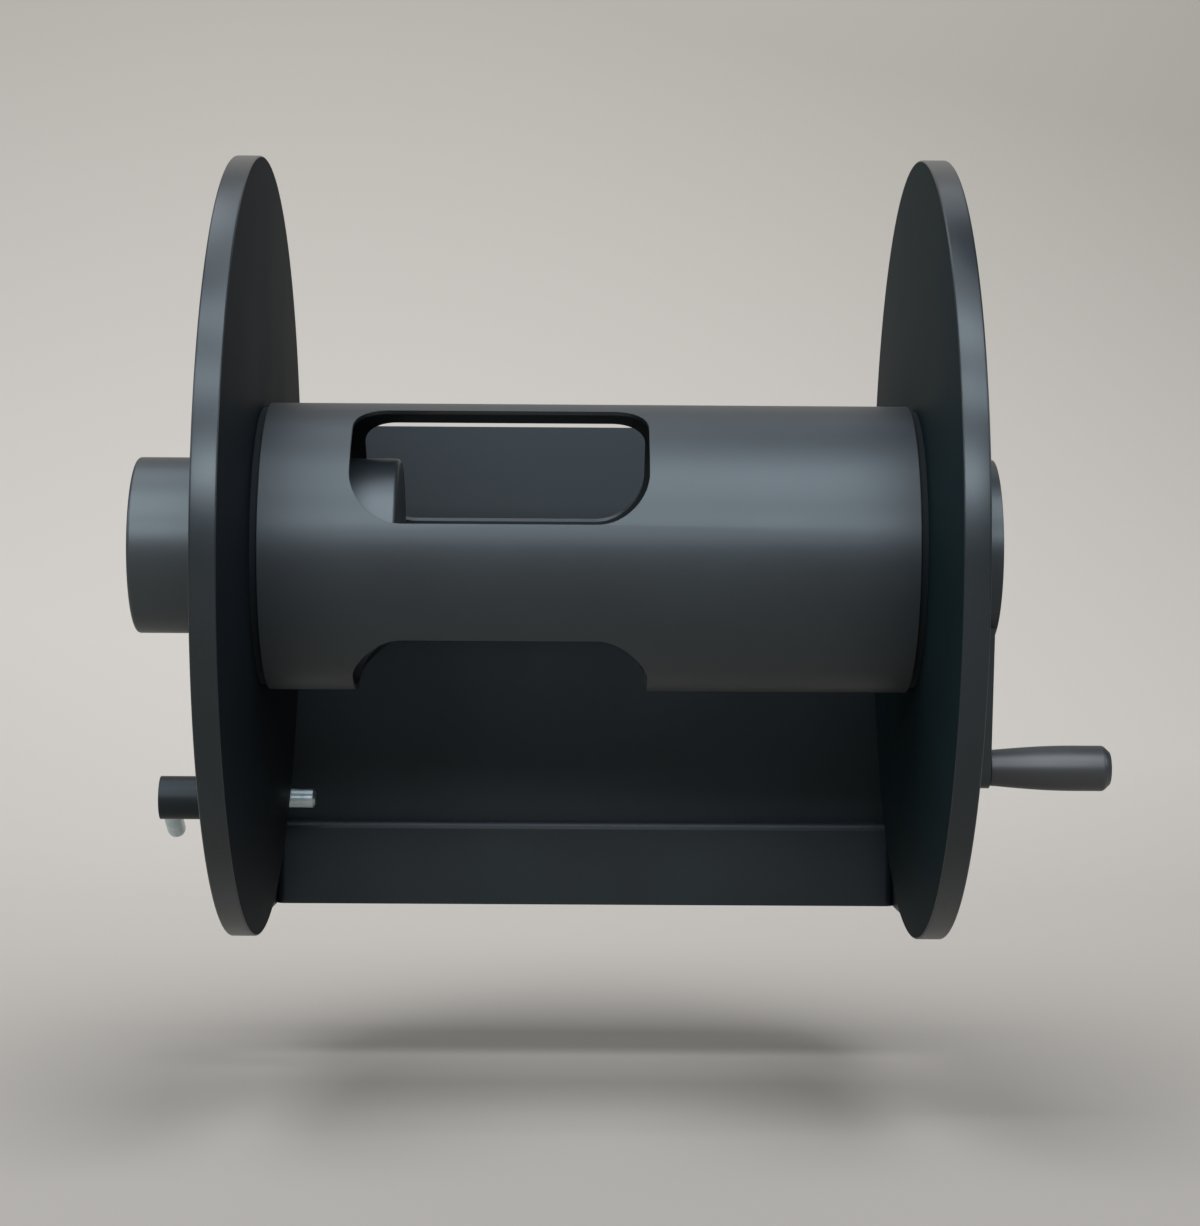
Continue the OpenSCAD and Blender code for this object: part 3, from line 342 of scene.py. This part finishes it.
# The finish that each of the record's material slots takes.
slotFinish = {
    "frame_steel": "framePowderCoat",
    "rail_steel": "railPowderCoat",
    "hub_steel": "hubPowderCoat",
    "drum_steel": "drumPowderCoat",
    "crank_steel": "crankPowderCoat",
    "disc_aluminium": "rimPowderCoat",
    "plate_aluminium": "plateGapShadeCoat",
    "shaft_steel": "turnedSteel",
    "zinc": "zincPlate",
    "black_screws": "blackOxide",
    "spring_steel": "springWire",
    "brass": "turnedBrass",
    "bronze": "sinteredBronze",
    "bearing_plastic": "acetal",
    "rubber": "sealRubber",
    "grip_plastic": "gripNylon",
}
slotOf = {part["node"]: part["material_slot"] for part in frame["record"]["subparts"]}
bodyOf = {name: body for body, names in frame["record"]["behaviour"]["bodies"].items()
          for name in names}


def finishOf(node):
    return finishes[slotFinish[slotOf[node]]]


def dressNodes():
    for name, node in nodes.items():
        if not node.material_slots:
            node.data.materials.append(finishOf(name))
        for slot in node.material_slots:
            slot.material = finishOf(name)


dressNodes()
print("materials set:", len(finishes))


# Hands a finished mesh over as a piece that stands for a CAD node, or sits beside one.
def handOver(name, mesh, node, replace=True):
    piece = bpy.data.objects.new(name, mesh)
    bpy.context.scene.collection.objects.link(piece)
    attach(piece, bodyOf[node])
    if replace:
        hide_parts(node)
    return piece


# Merges a mesh's doubles, turns its faces outwards where asked, and shades it smooth up to an
# edge of 32 degrees.
sharpAngle = math.radians(32)


def cleanMesh(mesh, gap, outwards=False):
    made = bmesh.new()
    made.from_mesh(mesh)
    bmesh.ops.remove_doubles(made, verts=made.verts, dist=gap)
    if outwards:
        bmesh.ops.recalc_face_normals(made, faces=made.faces)
    made.to_mesh(mesh)
    made.free()
    mesh.polygons.foreach_set("use_smooth", [True] * len(mesh.polygons))
    mesh.set_sharp_from_angle(angle=sharpAngle)


# Each disc is one plate with two finishes: a satin turned rim and matt faces. It is a copy of the
# CAD node's mesh, with the loose triangles merged.
discSetup = {
    "left_disc": {"name": "leftDisc", "face": "leftFacePowderCoat"},
    # the right face's coat carries a painted teal reflection
    "right_disc": {"name": "rightDisc", "face": "rightFaceTealReflectionCoat"},
}
mergeGap = 0.003 * mm
flatFace = 0.98  # a face whose normal lies along X by more than this is flat


def makeDiscs():
    for node, disc in discSetup.items():
        source = nodes[node].data
        mesh = bpy.data.meshes.new(disc["name"])
        mesh.from_pydata([v.co for v in source.vertices], [],
                         [p.vertices[:] for p in source.polygons])
        cleanMesh(mesh, mergeGap)
        mesh.materials.append(finishes["rimPowderCoat"])
        mesh.materials.append(finishes[disc["face"]])
        for face in mesh.polygons:
            face.material_index = 1 if abs(face.normal.x) > flatFace else 0
        handOver(disc["name"], mesh, node)


makeDiscs()
print("discs made")

# Geometry Nodes: every tree has named inputs, and its result is kept as a plain mesh.
socketKinds = {float: "NodeSocketFloat", int: "NodeSocketInt", tuple: "NodeSocketVector"}
growGap = 0.002 * mm


def startTree(name, sizes):
    tree = bpy.data.node_groups.new(name, "GeometryNodeTree")
    sockets = tree.interface
    sockets.new_socket(name="Geometry", in_out="INPUT", socket_type="NodeSocketGeometry")
    for label, value in sizes.items():
        socket = sockets.new_socket(name=label, in_out="INPUT",
                                    socket_type=socketKinds[type(value)])
        socket.default_value = value
    sockets.new_socket(name="Material", in_out="INPUT", socket_type="NodeSocketMaterial")
    sockets.new_socket(name="Geometry", in_out="OUTPUT", socket_type="NodeSocketGeometry")
    return tree, addNode(tree, "NodeGroupInput").outputs


# Turns the tree's result, moves it to its place, and ends the tree.
def endTree(tree, sizes, geometry):
    joined = addNode(tree, "GeometryNodeRealizeInstances", None, {"Geometry": geometry})
    placed = addNode(tree, "GeometryNodeTransform", None,
                     {"Geometry": joined.outputs["Geometry"], "Rotation": sizes["Turn"],
                      "Translation": sizes["Place"]})
    painted = addNode(tree, "GeometryNodeSetMaterial", None,
                      {"Geometry": placed.outputs["Geometry"], "Material": sizes["Material"]})
    addNode(tree, "NodeGroupOutput", None, {"Geometry": painted.outputs["Geometry"]})


# Runs a tree, on a drawn mesh where there is one, and returns its result as a mesh.
def growMesh(name, tree, sizes, material, drawn=None):
    holder = bpy.data.objects.new(name + "Holder", drawn or bpy.data.meshes.new(name))
    bpy.context.scene.collection.objects.link(holder)
    modifier = holder.modifiers.new("growth", "NODES")
    modifier.node_group = tree
    values = {**sizes, "Material": material}
    for item in tree.interface.items_tree:
        if item.in_out == "INPUT" and item.name in values:
            modifier[item.identifier] = values[item.name]
    graph = bpy.context.evaluated_depsgraph_get()
    grown = bpy.data.meshes.new_from_object(holder.evaluated_get(graph), depsgraph=graph)
    bpy.data.objects.remove(holder)
    grown.name = name
    cleanMesh(grown, growGap, outwards=True)
    return grown


# Circles of socket screws, each with a chamfered head and a hexagon socket. First the tree's
# inputs, then what every screw shares, then each circle.
screwSizes = {
    "Count": 6, "Circle": 67.0 * mm, "Head": 5.0 * mm, "Height": 4.0 * mm, "Chamfer": 0.5 * mm,
    "Socket": 2.9 * mm, "Depth": 2.2 * mm, "Shank": 2.95 * mm, "Length": 10.0 * mm,
    "Start": 0.0, "Turn": (0.0, 0.0, 0.0), "Place": (0.0, 0.0, 0.0),
}
screwSetup = {
    "headSides": 36,
    "shankSides": 24,
    "chamferShare": 0.11,  # of the head's radius
    "proud": 0.01 * mm,  # the hexagon cutter stands out of the head by this
}
screwRows = {
    "hub_flange_screws": {
        "name": "hubFlangeScrewsGrown", "side": "left",
        "sizes": {"Count": 6, "Circle": 67.0 * mm, "Head": 5.0 * mm, "Height": 4.0 * mm,
                  "Socket": 2.9 * mm, "Shank": 2.95 * mm},
    },
    "housing_screws": {
        "name": "housingScrewsGrown", "side": "right",
        "sizes": {"Count": 4, "Circle": 50.0 * mm, "Head": 6.5 * mm, "Height": 5.5 * mm,
                  "Socket": 3.46 * mm, "Shank": 3.95 * mm, "Start": math.pi / 4},
    },
    "shaft_screws": {
        "name": "shaftScrewsGrown", "side": "left",
        "sizes": {"Count": 4, "Circle": 36.0 * mm, "Head": 6.5 * mm, "Height": 5.5 * mm,
                  "Socket": 3.46 * mm, "Shank": 3.95 * mm},
    },
}
# The trees make screws, beads and helixes along Z. These turn them along X, to the right or left.
toRight, toLeft = (0.0, math.pi / 2, 0.0), (0.0, -math.pi / 2, 0.0)


def screwTree():
    tree, size = startTree("socketScrews", screwSizes)
    body = addNode(tree, "ShaderNodeMath", {"operation": "SUBTRACT"},
                   {0: size["Height"], 1: size["Chamfer"]})
    half = addNode(tree, "ShaderNodeMath", {"operation": "MULTIPLY"}, {0: body.outputs[0], 1: 0.5})
    up = addNode(tree, "ShaderNodeCombineXYZ", None, {"Z": half.outputs[0]})
    side = addNode(tree, "GeometryNodeMeshCylinder", {"fill_type": "NGON"},
                   {"Vertices": screwSetup["headSides"], "Radius": size["Head"],
                    "Depth": body.outputs[0]})
    seated = addNode(tree, "GeometryNodeTransform", None,
                     {"Geometry": side.outputs["Mesh"], "Translation": up.outputs[0]})
    rim = addNode(tree, "GeometryNodeExtrudeMesh", {"mode": "FACES"},
                  {"Mesh": seated.outputs["Geometry"], "Selection": side.outputs["Top"],
                   "Offset Scale": size["Chamfer"]})
    small = addNode(tree, "ShaderNodeMath", {"operation": "DIVIDE"},
                    {0: size["Chamfer"], 1: size["Head"]})
    share = addNode(tree, "ShaderNodeMath", {"operation": "SUBTRACT"},
                    {0: 1.0, 1: small.outputs[0]})
    head = addNode(tree, "GeometryNodeScaleElements", {"domain": "FACE"},
                   {"Geometry": rim.outputs["Mesh"], "Selection": rim.outputs["Top"],
                    "Scale": share.outputs[0]})
    hexagon = addNode(tree, "GeometryNodeMeshCylinder", {"fill_type": "NGON"},
                      {"Vertices": 6, "Radius": size["Socket"], "Depth": size["Depth"]})
    deep = addNode(tree, "ShaderNodeMath", {"operation": "MULTIPLY"}, {0: size["Depth"], 1: 0.5})
    level = addNode(tree, "ShaderNodeMath", {"operation": "SUBTRACT"},
                    {0: size["Height"], 1: deep.outputs[0]})
    higher = addNode(tree, "ShaderNodeMath", {"operation": "ADD"},
                     {0: level.outputs[0], 1: screwSetup["proud"]})
    lift = addNode(tree, "ShaderNodeCombineXYZ", None, {"Z": higher.outputs[0]})
    tool = addNode(tree, "GeometryNodeTransform", None,
                   {"Geometry": hexagon.outputs["Mesh"], "Translation": lift.outputs[0]})
    cut = addNode(tree, "GeometryNodeMeshBoolean", {"operation": "DIFFERENCE", "solver": "EXACT"},
                  {0: head.outputs["Geometry"], 1: tool.outputs["Geometry"]})
    shank = addNode(tree, "GeometryNodeMeshCylinder", {"fill_type": "NGON"},
                    {"Vertices": screwSetup["shankSides"], "Radius": size["Shank"],
                     "Depth": size["Length"]})
    down = addNode(tree, "ShaderNodeMath", {"operation": "MULTIPLY"}, {0: size["Length"], 1: -0.5})
    below = addNode(tree, "ShaderNodeCombineXYZ", None, {"Z": down.outputs[0]})
    sunk = addNode(tree, "GeometryNodeTransform", None,
                   {"Geometry": shank.outputs["Mesh"], "Translation": below.outputs[0]})
    screw = addNode(tree, "GeometryNodeJoinGeometry", None, {"Geometry": cut.outputs["Mesh"]})
    tree.links.new(sunk.outputs["Geometry"], screw.inputs["Geometry"])
    ring = addNode(tree, "GeometryNodeMeshCircle", None,
                   {"Vertices": size["Count"], "Radius": size["Circle"]})
    start = addNode(tree, "ShaderNodeCombineXYZ", None, {"Z": size["Start"]})
    turned = addNode(tree, "GeometryNodeTransform", None,
                     {"Geometry": ring.outputs["Mesh"], "Rotation": start.outputs[0]})
    placed = addNode(tree, "GeometryNodeInstanceOnPoints", None,
                     {"Points": turned.outputs["Geometry"], "Instance": screw.outputs["Geometry"]})
    endTree(tree, size, placed.outputs["Instances"])
    return tree


# The head's seat is one head's height inside the node's outer end, and the shank fills the rest.
def makeScrews():
    tree = screwTree()
    for node, row in screwRows.items():
        low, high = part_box(node)
        height, rightwards = row["sizes"]["Height"], row["side"] == "right"
        seat = high.x - height if rightwards else low.x + height
        sizes = {**screwSizes, **row["sizes"],
                 "Chamfer": screwSetup["chamferShare"] * row["sizes"]["Head"],
                 "Length": high.x - low.x - height, "Turn": toRight if rightwards else toLeft,
                 "Place": (seat, drumAxisY, 0.0)}
        mesh = growMesh(row["name"], tree, sizes, finishOf(node))
        handOver(mesh.name, mesh, node)
        print(" screws", node, len(mesh.polygons))


makeScrews()
print("screws made")

# A welding bead round a tube: a fillet of overlapping ripples, coated with the frame. It lies on
# the left face of its node, and axis is its middle in Y and Z.
beadSizes = {
    "Radius": 58.0 * mm, "Width": 2.4 * mm, "Ripples": 90, "Depth": 0.16, "Seed": 3.0,
    "Turn": (0.0, 0.0, 0.0), "Place": (0.0, 0.0, 0.0),
}
beadSetup = {
    "stepsPerRipple": 6.0,
    "noiseScale": 160.0,  # unevenness about 6 mm long
    "noiseShare": 1.2,
    "least": 0.8,  # of the bead's width, between two ripples
    "sides": 10,
}
beadRows = {
    "hubWeld": {
        "node": "hub_flange", "axis": (drumAxisY, 0.0),
        "sizes": {"Radius": 57.9 * mm, "Width": 2.2 * mm, "Ripples": 92},
    },
    "barrelWeld": {
        "node": "left_cheek", "axis": (pinAxis.y, pinAxis.z),
        "sizes": {"Radius": 15.8 * mm, "Width": 1.6 * mm, "Ripples": 30},
    },
}


def beadTree():
    tree, size = startTree("weldBead", beadSizes)
    steps = addNode(tree, "ShaderNodeMath", {"operation": "MULTIPLY"},
                    {0: size["Ripples"], 1: beadSetup["stepsPerRipple"]})
    path = addNode(tree, "GeometryNodeCurvePrimitiveCircle", {"mode": "RADIUS"},
                   {"Resolution": steps.outputs[0], "Radius": size["Radius"]})
    index = addNode(tree, "GeometryNodeInputIndex")
    phase = addNode(tree, "ShaderNodeMath", {"operation": "MULTIPLY"},
                    {0: index.outputs[0], 1: math.pi / beadSetup["stepsPerRipple"]})
    wave = addNode(tree, "ShaderNodeMath", {"operation": "SINE"}, {0: phase.outputs[0]})
    crest = addNode(tree, "ShaderNodeMath", {"operation": "ABSOLUTE"}, {0: wave.outputs[0]})
    noise = addNode(tree, "ShaderNodeTexNoise", {"noise_dimensions": "4D"},
                    {"W": size["Seed"], "Scale": beadSetup["noiseScale"], "Detail": 1.0})
    both = addNode(tree, "ShaderNodeMath", {"operation": "MULTIPLY_ADD"},
                   {0: noise.outputs["Fac"], 1: beadSetup["noiseShare"], 2: crest.outputs[0]})
    shaped = addNode(tree, "ShaderNodeMath", {"operation": "MULTIPLY_ADD"},
                     {0: both.outputs[0], 1: size["Depth"], 2: beadSetup["least"]})
    section = addNode(tree, "GeometryNodeCurvePrimitiveCircle", {"mode": "RADIUS"},
                      {"Resolution": beadSetup["sides"], "Radius": size["Width"]})
    swept = addNode(tree, "GeometryNodeCurveToMesh", None,
                    {"Curve": path.outputs["Curve"], "Profile Curve": section.outputs["Curve"],
                     "Scale": shaped.outputs[0]})
    endTree(tree, size, swept.outputs["Mesh"])
    return tree


def makeBeads():
    tree = beadTree()
    for name, row in beadRows.items():
        low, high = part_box(row["node"])
        sizes = {**beadSizes, **row["sizes"], "Turn": toRight, "Place": (low.x, *row["axis"])}
        mesh = growMesh(name, tree, sizes, finishes["framePowderCoat"])
        handOver(name, mesh, row["node"], replace=False)


makeBeads()
print("welds made")

# A helix swept by a small section: the pin's spring, of round wire, and the three-sided ridges of
# the two pipe threads, 2.3 and 1.8 mm apart. A thread starts an inset from its side of the node.
helixSizes = {
    "Turns": 4.0, "Radius": 9.8 * mm, "Length": 42.0 * mm, "Wire": 1.2 * mm, "Steps": 48,
    "Sides": 10, "Turn": (0.0, 0.0, 0.0), "Place": (0.0, 0.0, 0.0),
}
springSetup = {
    "turns": 4.0,
    "wire": 1.2 * mm,
    "travel": 0.034,  # how far the pin slides out
}
threadRows = {
    "inletThread": {
        "node": "inlet_fitting", "side": "left", "inset": 1.2 * mm,
        "sizes": {"Turns": 8.6, "Radius": 15.25 * mm, "Length": 20.0 * mm, "Wire": 0.85 * mm,
                  "Steps": 64, "Sides": 3},
    },
    "outletThread": {
        "node": "swivel_rotor", "side": "right", "inset": 20.5 * mm,
        "sizes": {"Turns": 10.4, "Radius": 10.4 * mm, "Length": 19.0 * mm, "Wire": 0.75 * mm,
                  "Steps": 64, "Sides": 3},
    },
}


def helixTree():
    tree, size = startTree("helixSweep", helixSizes)
    path = addNode(tree, "GeometryNodeCurveSpiral", None,
                   {"Resolution": size["Steps"], "Rotations": size["Turns"],
                    "Start Radius": size["Radius"], "End Radius": size["Radius"],
                    "Height": size["Length"]})
    section = addNode(tree, "GeometryNodeCurvePrimitiveCircle", {"mode": "RADIUS"},
                      {"Resolution": size["Sides"], "Radius": size["Wire"]})
    swept = addNode(tree, "GeometryNodeCurveToMesh", None,
                    {"Curve": path.outputs["Curve"], "Profile Curve": section.outputs["Curve"],
                     "Fill Caps": True})
    endTree(tree, size, swept.outputs["Mesh"])
    return tree


def makeSpring(tree):
    low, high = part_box("lock_spring")
    wire = springSetup["wire"]
    sizes = {**helixSizes, "Turns": springSetup["turns"], "Wire": wire,
             "Radius": (high.z - low.z) / 2 - wire, "Length": high.x - low.x - 2 * wire,
             "Turn": toRight, "Place": (low.x + wire, pinAxis.y, pinAxis.z)}
    mesh = growMesh("pinSpring", tree, sizes, finishes["springWire"])
    spring = handOver("pinSpring", mesh, "lock_spring")
    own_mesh(spring)


def makeThreads(tree):
    for name, row in threadRows.items():
        low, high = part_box(row["node"])
        start = low.x + row["inset"] if row["side"] == "left" else high.x - row["inset"]
        sizes = {**helixSizes, **row["sizes"], "Turn": toRight, "Place": (start, drumAxisY, 0.0)}
        mesh = growMesh(name, tree, sizes, finishes["turnedBrass"])
        handOver(name, mesh, row["node"], replace=False)


helix = helixTree()
makeSpring(helix)
makeThreads(helix)
print("spring and threads made")

# A profile drawn as (x, radius) points and turned round the X axis. The tree bends a sheet with
# one row of points for each step of the turn, and the last row meets the first.
latheSizes = {"Segments": 96, "Turn": (0.0, 0.0, 0.0), "Place": (0.0, 0.0, 0.0)}


def latheTree():
    tree, size = startTree("turnedProfile", latheSizes)
    count = addNode(tree, "GeometryNodeAttributeDomainSize", {"component": "MESH"},
                    {"Geometry": size["Geometry"]})
    around = addNode(tree, "ShaderNodeMath", {"operation": "ADD"}, {0: size["Segments"], 1: 1.0})
    sheet = addNode(tree, "GeometryNodeMeshGrid", None,
                    {"Vertices X": around.outputs[0], "Vertices Y": count.outputs["Point Count"]})
    index = addNode(tree, "GeometryNodeInputIndex")
    row = addNode(tree, "ShaderNodeMath", {"operation": "DIVIDE"},
                  {0: index.outputs[0], 1: count.outputs["Point Count"]})
    step = addNode(tree, "ShaderNodeMath", {"operation": "FLOOR"}, {0: row.outputs[0]})
    back = addNode(tree, "ShaderNodeMath", {"operation": "MULTIPLY"},
                   {0: step.outputs[0], 1: count.outputs["Point Count"]})
    along = addNode(tree, "ShaderNodeMath", {"operation": "SUBTRACT"},
                    {0: index.outputs[0], 1: back.outputs[0]})
    place = addNode(tree, "GeometryNodeInputPosition")
    drawn = addNode(tree, "GeometryNodeSampleIndex",
                    {"data_type": "FLOAT_VECTOR", "domain": "POINT"},
                    {"Geometry": size["Geometry"], "Value": place.outputs[0],
                     "Index": along.outputs[0]})
    part = addNode(tree, "ShaderNodeMath", {"operation": "DIVIDE"},
                   {0: step.outputs[0], 1: size["Segments"]})
    angle = addNode(tree, "ShaderNodeMath", {"operation": "MULTIPLY"},
                    {0: part.outputs[0], 1: math.tau})
    turned = addNode(tree, "ShaderNodeVectorRotate", {"rotation_type": "X_AXIS"},
                     {"Vector": drawn.outputs["Value"], "Angle": angle.outputs[0]})
    shaped = addNode(tree, "GeometryNodeSetPosition", None,
                     {"Geometry": sheet.outputs["Mesh"], "Position": turned.outputs["Vector"]})
    endTree(tree, size, shaped.outputs["Geometry"])
    return tree


def drawProfile(name, points):
    mesh = bpy.data.meshes.new(name)
    mesh.from_pydata([(x * mm, r * mm, 0) for x, r in points],
                     [(i, i + 1) for i in range(len(points) - 1)], [])
    return mesh


# Rounds the corner at a point of a profile with a short arc towards its neighbours.
def roundCorner(before, corner, after, radius, steps=5):
    a, b, c = Vector(before), Vector(corner), Vector(after)
    u, v = (a - b).normalized(), (c - b).normalized()
    half = u.angle(v) / 2
    reach = radius / math.tan(half)
    centre = b + (u + v).normalized() * radius / math.sin(half)
    p, q = b + u * reach - centre, b + v * reach - centre
    sweep = p.angle(q)
    return [tuple(centre + (p * math.sin((1 - t) * sweep) + q * math.sin(t * sweep))
                  / math.sin(sweep))
            for t in (i / steps for i in range(steps + 1))]


# The grip swells from its neck by a sine rule and ends in a rounded chamfer round its
# counterbore. Lengths are in millimetres.
gripSetup = {
    "length": 79.3,
    "neck": 11.8,
    "neckLength": 1.5,
    "neckRound": 0.9,
    "body": 14.9,
    "swellLength": 54.0,
    "swellSteps": 24,
    "endLength": 4.5,
    "endRadius": 10.75,
    "endRound": 3.5,
    "faceRound": 1.0,
    "bore": 7.06,
    "counterbore": 8.9,
    "boreDepth": 7.4,
    "mouthDepth": 2,
    "mouthRound": 0.3,
    "mouthSteps": 3,
}


def makeGrip(tree):
    g = gripSetup
    x0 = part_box("handle_grip")[0].x / mm
    end, steps = g["length"], g["swellSteps"]
    swell = [(g["neckLength"] + g["swellLength"] * i / steps,
              g["neck"] + (g["body"] - g["neck"]) * math.sin(math.pi / 2 * i / steps))
             for i in range(steps + 1)]
    start, neck = (0, g["bore"]), (0, g["neck"])
    chamfer, face = (end - g["endLength"], g["body"]), (end, g["endRadius"])
    mouth, inside = (end, g["counterbore"]), (end - g["mouthDepth"], g["counterbore"])
    floor = end - g["boreDepth"]
    points = [start, *roundCorner(start, neck, swell[1], g["neckRound"]), *swell[1:],
              *roundCorner(swell[-1], chamfer, face, g["endRound"]),
              *roundCorner(chamfer, face, mouth, g["faceRound"]),
              *roundCorner(face, mouth, inside, g["mouthRound"], g["mouthSteps"]),
              (floor, g["counterbore"]), (floor, g["bore"]), start]
    profile = drawProfile("gripProfile", [(x0 + x, r) for x, r in points])
    sizes = {**latheSizes, "Place": (0.0, gripAxis.y, gripAxis.z)}
    mesh = growMesh("turnedGrip", tree, sizes, finishes["gripNylon"], profile)
    handOver("turnedGrip", mesh, "handle_grip")


# The cap over the crank screws is pressed from sheet: a shallow dome with a rolled edge. Lengths
# are in millimetres.
capSetup = {
    "domeHeight": 0.9,
    "domeShare": 0.9,  # of the cap's radius
    "domeSteps": 12,
    "edgeDrop": 1.1,
    "edgeRound": 0.8,
}


def makeCap(tree):
    c = capSetup
    low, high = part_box("crank_cap")
    x0, x1, r = low.x / mm, high.x / mm, (high.z - low.z) / 2 / mm
    steps = c["domeSteps"]
    dome = [(x1 - c["domeHeight"] * (s / steps) ** 2, r * c["domeShare"] * s / steps)
            for s in range(steps + 1)]
    edge = roundCorner((x0, r), (x1 - c["edgeDrop"], r), dome[-1], c["edgeRound"])
    profile = drawProfile("capProfile", [(x0, 0), (x0, r), *edge, *reversed(dome)])
    sizes = {**latheSizes, "Place": (0.0, drumAxisY, 0.0)}
    mesh = growMesh("domedCap", tree, sizes, finishes["crankPowderCoat"], profile)
    handOver("domedCap", mesh, "crank_cap")


lathe = latheTree()
makeGrip(lathe)
makeCap(lathe)
print("grip and cap turned")

# A pale sweep in matt paint: flat under the reel, then curved up behind it. Its colour carries
# painted shade: palest near the floor and to the left, darker upwards and to the right.
stageSetup = {
    "floorZ": -0.380,
    "sweepStart": 1.2,
    "sweepRadius": 1.6,
    "sweepSteps": 24,
    "width": 26.0,
    "front": -14.0,
    "top": 6.0,
    "pale": "#cac7c3",
    "edge": "#9e9b96",
    "palestZ": -0.25,
    "paintedShadeUp": 0.8,  # shares of the way to the edge colour, per metre
    "paintedShadeRight": 0.17,
}


def paintedBackdrop():
    s = stageSetup
    material, tree, coords = startMaterial("paintedBackdrop")
    parts = addNode(tree, "ShaderNodeSeparateXYZ", None, {"Vector": coords})
    # painted shade: the colour goes towards the edge tone with height from palestZ and towards the
    # right
    height = addNode(tree, "ShaderNodeMath", {"operation": "SUBTRACT"},
                     {0: parts.outputs["Z"], 1: s["palestZ"]})
    away = addNode(tree, "ShaderNodeMath", {"operation": "ABSOLUTE"}, {0: height.outputs[0]})
    across = addNode(tree, "ShaderNodeMath", {"operation": "MULTIPLY_ADD"},
                     {0: parts.outputs["X"], 1: -s["paintedShadeRight"], 2: 1.0})
    share = addNode(tree, "ShaderNodeMath", {"operation": "MULTIPLY_ADD", "use_clamp": True},
                    {0: away.outputs[0], 1: -s["paintedShadeUp"], 2: across.outputs[0]})
    tone = addNode(tree, "ShaderNodeMix", {"data_type": "RGBA"},
                   {"Factor": share.outputs[0], "A": linear(s["edge"]), "B": linear(s["pale"])})
    shader = addNode(tree, "ShaderNodeBsdfDiffuse", None, {"Color": tone.outputs["Result"]})
    return finishMaterial(material, tree, shader)


def makeStage():
    s = stageSetup
    line = [(s["front"], s["floorZ"]), (s["sweepStart"], s["floorZ"])]
    for i in range(1, s["sweepSteps"] + 1):
        a = math.radians(90 * i / s["sweepSteps"])
        line.append((s["sweepStart"] + s["sweepRadius"] * math.sin(a),
                     s["floorZ"] + s["sweepRadius"] * (1 - math.cos(a))))
    line.append((s["sweepStart"] + s["sweepRadius"], s["top"]))
    points = [(x, y, z) for y, z in line for x in (-s["width"] / 2, s["width"] / 2)]
    faces = [(2 * i, 2 * i + 1, 2 * i + 3, 2 * i + 2) for i in range(len(line) - 1)]
    mesh = bpy.data.meshes.new("backdrop")
    mesh.from_pydata(points, [], faces)
    mesh.polygons.foreach_set("use_smooth", [True] * len(mesh.polygons))
    mesh.materials.append(paintedBackdrop())
    backdrop = bpy.data.objects.new("backdrop", mesh)
    bpy.context.scene.collection.objects.link(backdrop)


# Soft boxes: where each stands, its size and its power. Those for the reel face the drum's middle
# and light the reel alone, and the stage's own light the backdrop alone.
plainBox = {"aim": (0, drumAxisY, 0), "colour": "#eff5ff", "lights": "reel", "shadowless": False}
softboxes = {
    "frontLow": {"place": (-0.1, -2.65, 0.8), "size": (1.8, 0.45), "power": 33},
    "frontMiddle": {"place": (-0.2, -2.05, 1.65), "size": (2.6, 0.4), "power": 29},
    "frontHigh": {"place": (-0.2, -1.35, 1.95), "size": (2.6, 0.5), "power": 25},
    "overhead": {"place": (-0.2, -0.5, 2.0), "size": (2.6, 0.9), "power": 15},
    "overBack": {"place": (-0.2, 0.35, 1.9), "size": (2.0, 0.8), "power": 6},
    "leftSide": {"place": (-2.2, -0.9, 0.9), "size": (0.9, 1.2), "power": 13},
    "rightSide": {"place": (2.2, -0.9, 0.9), "size": (0.9, 1.2), "power": 13},
    "stageFront": {"place": (-0.06, -2.7, 3.8), "size": (4.2, 3.6), "power": 200,
                   "aim": (0, -0.05, -0.38), "colour": "#ffffff", "lights": "stage"},
    "wallTop": {"place": (0.0, 0.9, 2.6), "size": (2.4, 0.6), "power": 66,
                "aim": (0, 3.4, 1.2), "colour": "#ffffff", "lights": "stage",
                "shadowless": True},
}
worldLight = {"colour": "#d8dadd", "strength": 0.12}


def linkGroup(name, state):
    group = bpy.data.collections.new(name)
    group.objects.link(bpy.data.objects["backdrop"])
    group.collection_objects[0].light_linking.link_state = state
    return group


def addSoftbox(name, box, groups):
    data = bpy.data.lights.new(name, "AREA")
    data.shape = "RECTANGLE"
    data.size, data.size_y = box["size"]
    data.energy = box["power"]
    data.color = linear(box["colour"])[:3]
    light = bpy.data.objects.new(name, data)
    direction = Vector(box["aim"]) - Vector(box["place"])
    turn = direction.to_track_quat("-Z", "Y").to_matrix().to_4x4()
    light.matrix_world = Matrix.Translation(box["place"]) @ turn
    bpy.context.scene.collection.objects.link(light)
    light.light_linking.receiver_collection = groups[box["lights"]]
    if box["shadowless"]:
        light.light_linking.blocker_collection = groups["stage"]


def makeWorld():
    world = bpy.data.worlds.new("studioWorld")
    world.use_nodes = True
    background = world.node_tree.nodes["Background"]
    background.inputs["Color"].default_value = linear(worldLight["colour"])
    background.inputs["Strength"].default_value = worldLight["strength"]
    bpy.context.scene.world = world


makeStage()
lightGroups = {"stage": linkGroup("backdropOnly", "INCLUDE"),
               "reel": linkGroup("reelOnly", "EXCLUDE")}
for name, box in softboxes.items():
    addSoftbox(name, {**plainBox, **box}, lightGroups)
makeWorld()
bpy.context.scene.view_settings.view_transform = "Standard"
print("stage and lights set")
